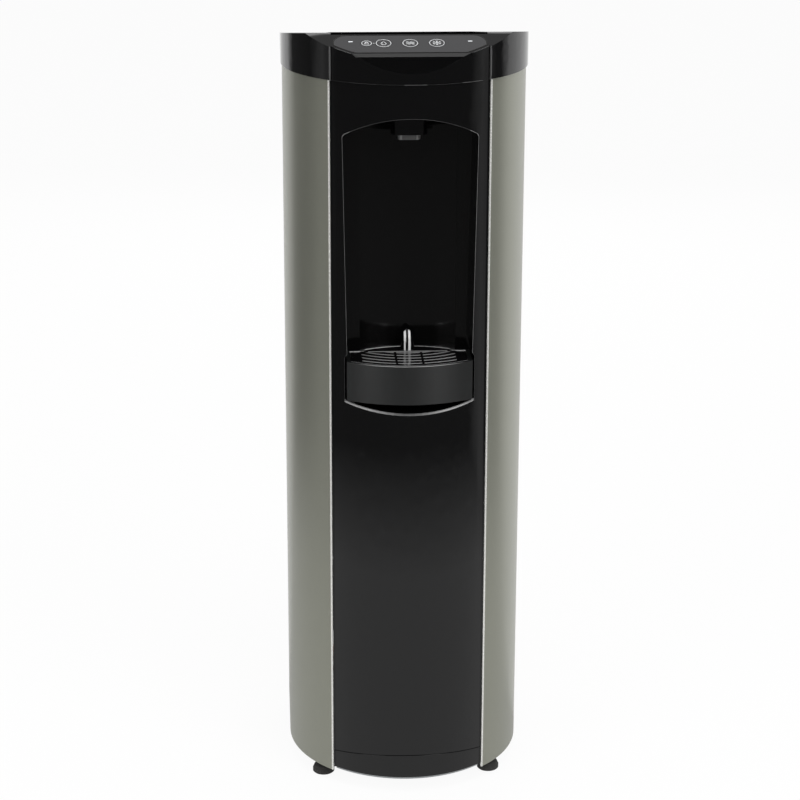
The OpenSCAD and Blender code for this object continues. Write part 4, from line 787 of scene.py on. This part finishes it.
@dataclass
class ControlTop(SubAssembly):
    """Cap with the control lens, its keys and their printed icons."""

    cap_rounding: float = 0.8
    fold_rounding: float = 3.2
    wing_rounding: float = 1.4
    pocket_rounding: float = 1.0
    # Painted highlights on the rounded fold, the wings' front edges and the pocket's upper edge: shares of white
    # in the base colour.
    fold_lip: float = 0.05
    wing_lip: float = 0.12
    pocket_lip: float = 0.14
    seal_radius: float = 0.5
    incline: Vector = field(default_factory=lambda: Vector((0.0, -0.3305, 0.9438)))
    wing_x: Pair = (97.5, 100.5)
    wing_y: Pair = (-142.0, -133.0)
    fold_y: Pair = (-158.5, -155.5)
    long_edge: float = 5.0
    pocket_slack: float = 0.15
    pocket_front: float = -153.5
    pocket_gap: float = 0.6
    pocket_half: float = 95.0
    lens_rounding: float = 0.7
    lens_flatness: float = 0.999
    face_slack: float = 0.1
    line_width: float = 0.95
    ring_inset: float = 1.2
    link_gap: float = 0.6
    print_lift: float = 0.02

    def build(self) -> None:
        """Make and dress the cap."""
        special = (
            Rounding(self.on_fold, self.fold_rounding, self.fold_lip),
            Rounding(self.on_wing, self.wing_rounding, self.wing_lip),
            Rounding(self.on_pocket, self.pocket_rounding, self.pocket_lip),
        )
        self.soften("top_cap", PIANO_BLACK, self.cap_rounding, special=special)
        self.soften("control_lens", LENS_GREY, self.lens_rounding)
        # A black bead in the groove round the lens paints the groove's shade as a dark line.
        self.sweep("lens_seal", [(self.lens_outline(), True)], self.seal_radius, GROOVE_SHADE_BLACK, fineness=2)
        self.dress(LIGHT_GUIDE, "indicator_lamps")
        self.dress(BOARD_GREEN, "button_board")
        icons = {"lock": self.padlock(), "hot": self.drop(), "ambient": self.waves(), "cold": self.snowflake()}
        for key, strokes in icons.items():
            node = f"key_{key}"
            self.dress(LENS_GREY, node)
            place, reach = self.key_face(node)
            ring = [(arc(0, 0, reach - self.ring_inset, count=64), True)]
            icon = line_work(f"icon_{key}", ring + strokes, self.line_width, place)
            self.seat(icon, ICON_WHITE, body=node)
        self.add_link()

    def on_fold(self, first: Vector, second: Vector) -> bool:
        """Say whether an edge is on the fold below the control panel, from its two ends."""
        near = all(self.fold_y[0] < end.y < self.fold_y[1] for end in (first, second))
        return near and abs(first.x - second.x) > self.long_edge

    def on_wing(self, first: Vector, second: Vector) -> bool:
        """Say whether an edge is an upright front edge of a wing, from its two ends."""
        return all(
            self.wing_x[0] < abs(end.x) < self.wing_x[1] and self.wing_y[0] < end.y < self.wing_y[1]
            for end in (first, second)
        ) and abs(first.z - second.z) > self.long_edge

    def on_pocket(self, first: Vector, second: Vector) -> bool:
        """Say whether an edge is the upper edge of the lens's pocket, from its two ends."""
        level = self.lens_level()
        return all(
            abs(end.dot(self.incline) - level) < self.pocket_slack
            and self.pocket_front < end.y < self.lens_back() + self.pocket_gap
            and abs(end.x) < self.pocket_half
            for end in (first, second)
        )

    def lens_level(self) -> float:
        """Give the height of the lens's face along its normal, in millimetres."""
        return max(v.co.dot(self.incline) for v in frame["nodes"]["control_lens"].data.vertices) / MM

    def lens_back(self) -> float:
        """Give the depth of the lens's rear edge, in millimetres."""
        return max(v.co.y for v in frame["nodes"]["control_lens"].data.vertices) / MM

    def lens_outline(self) -> list[Point]:
        """Walk round the outer edge of the lens's face.

        Returns:
            The points, in millimetres.
        """
        form = bmesh.new()
        form.from_mesh(frame["nodes"]["control_lens"].data)
        bmesh.ops.remove_doubles(form, verts=form.verts, dist=SAME_SPOT)
        top = {f for f in form.faces if f.normal.dot(self.incline) > self.lens_flatness}
        rim = [e for e in form.edges if sum(f in top for f in e.link_faces) == 1]
        start = max(rim, key=lambda e: abs(e.verts[0].co.x))
        walk, edge, vert = [], start, start.verts[0]
        while not walk or edge is not start:
            walk.append(tuple(vert.co / MM))
            vert = edge.other_vert(vert)
            edge = next(e for e in vert.link_edges if e is not edge and e in rim)
        form.free()
        return walk

    def key_face(self, node: str) -> tuple[Matrix, float]:
        """Find the face of a key.

        Args:
            node: The key's name.

        Returns:
            The face's matrix, and the key's radius in millimetres.
        """
        press = next(j for j in frame["joints"] if j["child"] == node)["axis"]
        normal = -Vector(press).normalized()
        side = Vector((1.0, 0.0, 0.0))
        rise = normal.cross(side)
        points = [v.co for v in frame["nodes"][node].data.vertices]
        top = max(p.dot(normal) for p in points)
        rim = [p for p in points if p.dot(normal) > top - self.face_slack * MM]
        xs = [p.dot(side) for p in rim]
        ys = [p.dot(rise) for p in rim]
        centre = side * ((min(xs) + max(xs)) / 2) + rise * ((min(ys) + max(ys)) / 2)
        origin = centre + normal * (top + self.print_lift * MM)
        matrix = Matrix((side, rise, normal)).transposed().to_4x4()
        return Matrix.Translation(origin) @ matrix, (max(xs) - min(xs)) / 2 / MM

    def add_link(self) -> None:
        """Print the dash that joins the lock to the drop."""
        lock, lock_r = self.key_face("key_lock")
        hot, hot_r = self.key_face("key_hot")
        gap = (hot.translation - lock.translation).length / MM
        dash = [(lock_r + self.link_gap, 0.0), (gap - hot_r - self.link_gap, 0.0)]
        self.seat(line_work("icon_link", [(dash, False)], self.line_width, lock), ICON_WHITE)

    def padlock(self) -> list[Stroke]:
        """Lines of a padlock."""
        shell = [(-2.2, -2.6), (2.2, -2.6), (2.2, 0.4), (-2.2, 0.4)]
        shackle = [(-1.5, 0.4), *arc(0, 1.4, 1.5, 180, 0, 12), (1.5, 0.4)]
        return [(shell, True), (shackle, False)]

    def drop(self) -> list[Stroke]:
        """Lines of a water drop."""
        round_part = arc(0, -1.3, 3.0, 148, 392, 26)
        return [([*round_part, (0.0, 4.8)], True), (arc(0, -1.3, 1.7, 200, 270, 8), False)]

    def waves(self) -> list[Stroke]:
        """Lines of three waves."""
        steps = [k / 24 for k in range(25)]
        wave = [(-5.0 + 10.0 * t, 0.7 * math.sin(4 * math.pi * t)) for t in steps]
        return [([(x, row + y) for x, y in wave], False) for row in (-2.4, 0.0, 2.4)]

    def snowflake(self) -> list[Stroke]:
        """Lines of a snowflake."""
        strokes: list[Stroke] = []
        for k in range(6):
            turn = Matrix.Rotation(math.radians(60 * k + 30), 2)
            arm = [Vector((0.0, 0.0)), Vector((5.4, 0.0))]
            fork = [Vector((4.9, 1.5)), Vector((3.4, 0.0)), Vector((4.9, -1.5))]
            strokes += [([tuple(turn @ p) for p in line], False) for line in (arm, fork)]
        return strokes


@dataclass
class CupRest(SubAssembly):
    """Drip tray and its slotted grille with the post."""

    tray_rounding: float = 0.8
    grille_rounding: float = 0.8
    # Painted highlights on the grille's rounded edges and on the slots' rear walls, and two painted upright
    # glints on the post.
    grille_lip: float = 0.45
    slot_glint: float = 0.34
    edge_rounding: float = 0.6
    ear_rounding: float = 1.2
    # Painted highlights on the tray's rim, at its rear ears, on its rear arc and along its front: shares of white
    # in the base colour.
    ear_lip: float = 0.5
    ear_y: float = -101.3
    arc_rounding: float = 1.8
    arc_lips: Pair = (0.75, 0.4)
    arc_middle: float = -190.7
    arc_radius: float = 110.4
    brim_lip: float = 0.3
    brim_y: float = -140.0
    brim_bends: Pair = (40.0, 68.0)
    tray_top: float = 595.0
    slack: float = 0.2
    glint_front: float = -0.1
    glint_tilt: float = 0.9
    post_glint: float = 0.8
    glint_middle: float = -0.5
    glint_span: Pair = (1.5, 4.3)

    def build(self) -> None:
        """Make and dress the tray and the grille."""
        edges = (
            Rounding(self.on_arc, self.arc_rounding, self.arc_level),
            Rounding(self.on_ear, self.ear_rounding, self.ear_lip),
            Rounding(self.on_brim, self.edge_rounding, self.brim_level),
        )
        self.soften("drip_tray", CHARCOAL, self.tray_rounding, body="drip_tray", special=edges)
        self.soften(
            "drip_grille", GRILLE_BLACK, self.grille_rounding,
            body="drip_grille", lip=self.grille_lip, streak=self.glint,
        )

    def on_ear(self, first: Vector, second: Vector) -> bool:
        """Say whether an edge is at the rear of the tray's rim, from its two ends."""
        return all(
            abs(end.y - self.ear_y) < self.slack and end.z > self.tray_top - self.slack
            for end in (first, second)
        )

    def on_arc(self, first: Vector, second: Vector) -> bool:
        """Say whether an edge is on the inner arc at the rear of the tray's rim, from its two ends."""
        return all(
            abs(math.hypot(end.x, end.y - self.arc_middle) - self.arc_radius) < self.slack
            and end.z > self.tray_top - self.slack
            for end in (first, second)
        )

    def arc_level(self, place: Vector) -> float:
        """Give the painted highlight of the rear arc, which is paler on the left."""
        return self.arc_lips[0] if place.x < 0.0 else self.arc_lips[1]

    def on_brim(self, first: Vector, second: Vector) -> bool:
        """Say whether an edge is on the front of the tray's rim, from its two ends."""
        return all(end.y < self.brim_y and end.z > self.tray_top - self.slack for end in (first, second))

    def brim_level(self, place: Vector) -> float:
        """Give the painted highlight of the tray's front rim, which fades to both sides."""
        near, away = self.brim_bends
        return self.brim_lip * min(max((away - abs(place.x)) / (away - near), 0.0), 1.0)

    def glint(self, place: Vector, normal: Vector) -> float:
        """Give the painted highlight of the slots' rear walls and the post's two painted upright glints.

        Args:
            place: Middle of a face, in millimetres.
            normal: The face's normal.

        Returns:
            The share of painted white, which is nought away from the glints.
        """
        if normal.y > self.glint_front or abs(normal.z) > self.glint_tilt:
            return 0.0
        if place.z < self.tray_top:
            return self.slot_glint
        low, high = self.glint_span
        return self.post_glint if low < abs(place.x - self.glint_middle) < high else 0.0


@dataclass
class ColdSide(SubAssembly):
    """Compressor, condenser, evaporator and the cold tank in its foam."""

    line_radius: float = 2.4
    capillary_radius: float = 1.2
    bend: float = 9.0
    hot_gas: tuple[Point, ...] = (
        (87.0, 66.0, 109.0), (112.0, 66.0, 109.0), (112.0, 162.0, 109.0),
        (127.0, 162.0, 129.0), (127.0, 162.0, 880.0), (100.0, 162.0, 880.0),
    )
    liquid: tuple[Point, ...] = (
        (-100.0, 162.0, 268.0), (-127.0, 162.0, 268.0), (-127.0, 162.0, 139.0),
        (-112.0, 162.0, 124.0), (-112.0, 100.0, 124.0), (-112.0, 100.0, 110.0),
    )
    suction: tuple[Point, ...] = (
        (-45.99, 103.95, 641.8), (-37.99, 103.95, 641.8), (-37.99, 103.95, 191.0),
        (15.0, 66.0, 191.0), (15.0, 66.0, 179.0),
    )
    capillary: tuple[Point, ...] = (
        (-112.0, 100.0, 50.0), (-112.0, 100.0, 42.0), (-130.0, 100.0, 42.0), (-130.0, 100.0, 836.1),
        (-61.99, 103.95, 836.1), (-61.99, 103.95, 787.8), (-57.99, 103.95, 787.8),
    )

    def build(self) -> None:
        """Make the copper lines and dress the other refrigeration parts."""
        runs = [(bent(run, self.bend), False) for run in (self.hot_gas, self.liquid, self.suction)]
        self.sweep("copper_lines", runs, self.line_radius, COPPER, "refrigerant_lines")
        self.sweep("capillary", [(bent(self.capillary, self.bend), False)], self.capillary_radius, COPPER)
        self.dress(BLACK_ENAMEL, "condenser_tube", "condenser_wires")
        self.dress(BLACK_PLASTIC, "condenser_brackets")
        self.dress(SHELL_PAINT, "compressor")
        self.dress(RUBBER, "compressor_grommets")
        self.dress(COPPER, "filter_drier", "evaporator_coil")
        self.dress(FOAM, "cold_foam", "cold_foam_lid")
        self.dress(STAINLESS, "cold_tank", "level_probe")


@dataclass
class HotSide(SubAssembly):
    """Hot tank with its stand, heater, jacket and thermostats."""

    def build(self) -> None:
        """Dress the heating parts."""
        self.dress(STAINLESS, "hot_tank", "band_heater")
        self.dress(ZINC, "hot_tank_stand")
        self.dress(FOAM, "hot_tank_jacket")
        self.dress(BLACK_PLASTIC, "thermostats")


@dataclass
class Plumbing(SubAssembly):
    """Valves, filters, tubes and the fittings on the back."""

    def build(self) -> None:
        """Dress the water parts."""
        self.dress(ZINC, "valve_bracket")
        self.dress(WHITE_PLASTIC, "dispense_valves", "inlet_valve", "filter_cradle", "filter_cartridges")
        self.dress(WHITE_PLASTIC, "inlet_fitting", "drain_spigot", "drain_cap")
        self.dress(BLUE_PLASTIC, "filter_heads")
        self.dress(TUBE_WHITE, "water_tubes")


@dataclass
class Electrics(SubAssembly):
    """Gland, switch and control board."""

    def build(self) -> None:
        """Dress the electrical parts."""
        self.dress(BLACK_PLASTIC, "cord_gland", "switch_bezel")
        self.dress(RED_PLASTIC, "hot_switch")
        self.dress(BOARD_GREEN, "power_board")


@dataclass
class LevellingFeet(SubAssembly):
    """Four screw-in feet."""

    def build(self) -> None:
        """Dress the feet."""
        self.dress(RUBBER, *(f"foot_{end}_{side}" for end in ("front", "rear") for side in ("left", "right")))


@dataclass(frozen=True)
class SoftBox:
    """One area light: where it hangs, its size and power, how it shows, and the pieces it is kept for."""

    name: str
    place: Point
    width: float
    height: float
    power: float
    mirrored: bool = True
    lights: bool = True
    pieces: tuple[str, ...] = ()
    aim: Point = (0.0, 0.0, 0.5)

    def hang(self) -> None:
        """Put the light into the scene, turned to the piece."""
        light = bpy.data.lights.new(self.name, "AREA")
        light.shape = "RECTANGLE"
        light.size = self.width
        light.size_y = self.height
        light.energy = self.power
        lamp = bpy.data.objects.new(self.name, light)
        turn = (Vector(self.aim) - Vector(self.place)).to_track_quat("-Z", "Y")
        lamp.matrix_world = Matrix.Translation(self.place) @ turn.to_matrix().to_4x4()
        lamp.visible_glossy = self.mirrored
        lamp.visible_diffuse = self.lights
        lamp.visible_camera = False
        bpy.context.scene.collection.objects.link(lamp)
        if self.pieces:
            receivers = bpy.data.collections.new(f"{self.name}_receivers")
            for piece in self.pieces:
                receivers.objects.link(bpy.data.objects[piece])
            lamp.light_linking.receiver_collection = receivers


@dataclass(frozen=True)
class Studio:
    """Camera, lights, world and floor."""

    camera_place: Point = (-0.1776, -3.0981, 1.4673)
    yaw: float = 0.056
    pitch: float = 0.314
    roll: float = 0.003
    focal_pixels: float = 2426.7
    axis_row: float = 426.48
    image_size: int = 800
    sensor: float = 36.0
    fill_level: float = 0.55
    dark_level: float = 0.05
    sky_level: float = 0.35
    white_way: Pair = (0.267, 0.964)
    white_edge: Pair = (0.46, 0.62)
    near_floor: float = 0.66
    strip_level: float = 0.42
    strip_half: float = 0.28
    strip_shift: float = 0.09
    floor_rings: Pair = (0.95, 1.6)
    floor_share: float = 0.93
    floor_half: float = 15.0
    floor_white: tuple[float, ...] = (0.94, 0.94, 0.94, 1.0)
    sky_rise: Pair = (0.25, 0.6)
    clip_end: float = 100.0
    strip_pieces: tuple[str, ...] = ("drip_tray_soft",)

    def build(self) -> None:
        """Set up the whole studio."""
        self.add_camera()
        self.add_lights()
        self.add_world()
        self.add_floor()
        bpy.context.scene.view_settings.view_transform = "Standard"

    def add_camera(self) -> None:
        """Place the camera at the photograph's viewing angle."""
        lens = bpy.data.cameras.new("camera")
        lens.sensor_width = self.sensor
        lens.lens = self.sensor * self.focal_pixels / self.image_size
        lens.shift_y = (self.axis_row - self.image_size / 2) / self.image_size
        lens.clip_end = self.clip_end
        turn = Matrix.Rotation(-self.yaw, 3, "Z") @ Matrix.Rotation(math.pi / 2 - self.pitch, 3, "X")
        turn = turn @ Matrix.Rotation(self.roll, 3, "Z")
        camera = bpy.data.objects.new("camera", lens)
        camera.matrix_world = Matrix.Translation(self.camera_place) @ turn.to_4x4()
        bpy.context.scene.collection.objects.link(camera)
        bpy.context.scene.camera = camera

    def add_lights(self) -> None:
        """Hang the soft boxes, and two upright strips whose sheen only the tray shows."""
        boxes = (
            SoftBox("key_box", (1.9, -2.2, 2.6), 1.5, 1.5, 34.0),
            SoftBox("fill_box", (-2.1, -2.0, 2.4), 1.4, 1.4, 22.0),
            SoftBox("top_box", (0.15, -1.15, 3.1), 0.9, 0.9, 20.0, mirrored=False),
            SoftBox("back_box", (0.3, 3.0, 1.8), 2.4, 2.4, 22.0, mirrored=False),
            SoftBox("strip_left", (-1.42, -1.93, 0.8), 0.25, 0.8, 12.0, lights=False, pieces=self.strip_pieces),
            SoftBox("strip_right", (1.2, -2.08, 0.8), 0.25, 0.8, 14.0, lights=False, pieces=self.strip_pieces),
        )
        for box in boxes:
            box.hang()

    def add_world(self) -> None:
        """White round the piece, and a dim room on the camera's side for reflections."""
        world = bpy.data.worlds.new("studio")
        bpy.context.scene.world = world
        world.use_nodes = True
        board = ShaderBoard(world.node_tree)
        board.clear()
        way = board.node("ShaderNodeTexCoord").outputs["Generated"]
        parts = board.node("ShaderNodeSeparateXYZ", {"Vector": way}).outputs
        around = self.ring_level(board, parts["X"], parts["Y"])
        above = board.remap(parts["Z"], self.sky_rise, (1.0, self.sky_level))
        room = board.math("MULTIPLY", around, above)
        path = board.node("ShaderNodeLightPath").outputs
        white = board.math("MAXIMUM", path["Is Camera Ray"], path["Is Transmission Ray"])
        seen = board.choose(path["Is Glossy Ray"], self.fill_level, room)
        level = board.choose(white, seen, 1.0)
        sky = board.node("ShaderNodeBackground", {"Color": (*WHITE, 1.0), "Strength": level})
        board.node("ShaderNodeOutputWorld", {"Surface": sky.outputs[0]})

    def ring_level(
        self, board: ShaderBoard, x: bpy.types.NodeSocket, y: bpy.types.NodeSocket
    ) -> bpy.types.NodeSocket:
        """Brightness of the room by direction: white behind the piece and dim before it.

        Args:
            board: The node tree's board.
            x: The direction's part to the right.
            y: Its part to the back.

        Returns:
            The socket with the brightness.
        """
        side = board.math("MULTIPLY", x, self.white_way[0])
        back = board.math("MULTIPLY", y, self.white_way[1])
        white = board.remap(board.math("ADD", side, back), self.white_edge, (self.dark_level, 1.0))
        moved = board.math("MULTIPLY_ADD", x, self.strip_shift, self.strip_shift)
        abreast = board.math("ABSOLUTE", board.math("ADD", y, moved))
        strip = board.remap(abreast, (0.0, self.strip_half), (self.strip_level, 0.0))
        return board.math("MAXIMUM", white, strip)

    def add_floor(self) -> None:
        """Lay the pale floor, which keeps the shadow of the piece."""
        form = bmesh.new()
        bmesh.ops.create_grid(form, x_segments=1, y_segments=1, size=self.floor_half)
        mesh = bpy.data.meshes.new("floor")
        form.to_mesh(mesh)
        form.free()
        floor = bpy.data.objects.new("floor", mesh)
        bpy.context.scene.collection.objects.link(floor)
        paint = bpy.data.materials.new("floor_paint")
        paint.use_nodes = True
        board = ShaderBoard(paint.node_tree)
        board.clear()
        place = board.node("ShaderNodeTexCoord").outputs["Object"]
        reach = board.node("ShaderNodeVectorMath", {"0": place}, operation="LENGTH").outputs["Value"]
        near = board.remap(reach, self.floor_rings, (self.near_floor, self.dark_level))
        way = board.node("ShaderNodeVectorMath", {"0": place}, operation="NORMALIZE").outputs["Vector"]
        along = board.node("ShaderNodeSeparateXYZ", {"Vector": way}).outputs
        mirror = board.math("MAXIMUM", near, self.ring_level(board, along["X"], along["Y"]))
        path = board.node("ShaderNodeLightPath").outputs
        glow = board.choose(path["Is Glossy Ray"], 1.0, mirror)
        shine = board.node("ShaderNodeEmission", {"Color": (*WHITE, 1.0), "Strength": glow}).outputs[0]
        matt = board.node("ShaderNodeBsdfDiffuse", {"Color": self.floor_white}).outputs[0]
        direct = board.math("MAXIMUM", path["Is Camera Ray"], path["Is Transmission Ray"])
        seen = board.math("MAXIMUM", direct, path["Is Glossy Ray"])
        share = board.math("MULTIPLY", seen, self.floor_share)
        mixed = board.node("ShaderNodeMixShader", {"0": share, "1": matt, "2": shine}).outputs[0]
        board.node("ShaderNodeOutputMaterial", {"Surface": mixed})
        mesh.materials.append(paint)


def main() -> None:
    """Build every sub-assembly in order and the studio round them."""
    logging.basicConfig(level=logging.INFO, format="%(name)s: %(message)s")
    shell = (CabinetShell(), FrontColumn(), ControlTop(), CupRest())
    inside = (ColdSide(), HotSide(), Plumbing(), Electrics())
    for part in (*shell, *inside, LevellingFeet()):
        part.build()
    Studio().build()


if __name__ == "__main__":
    main()
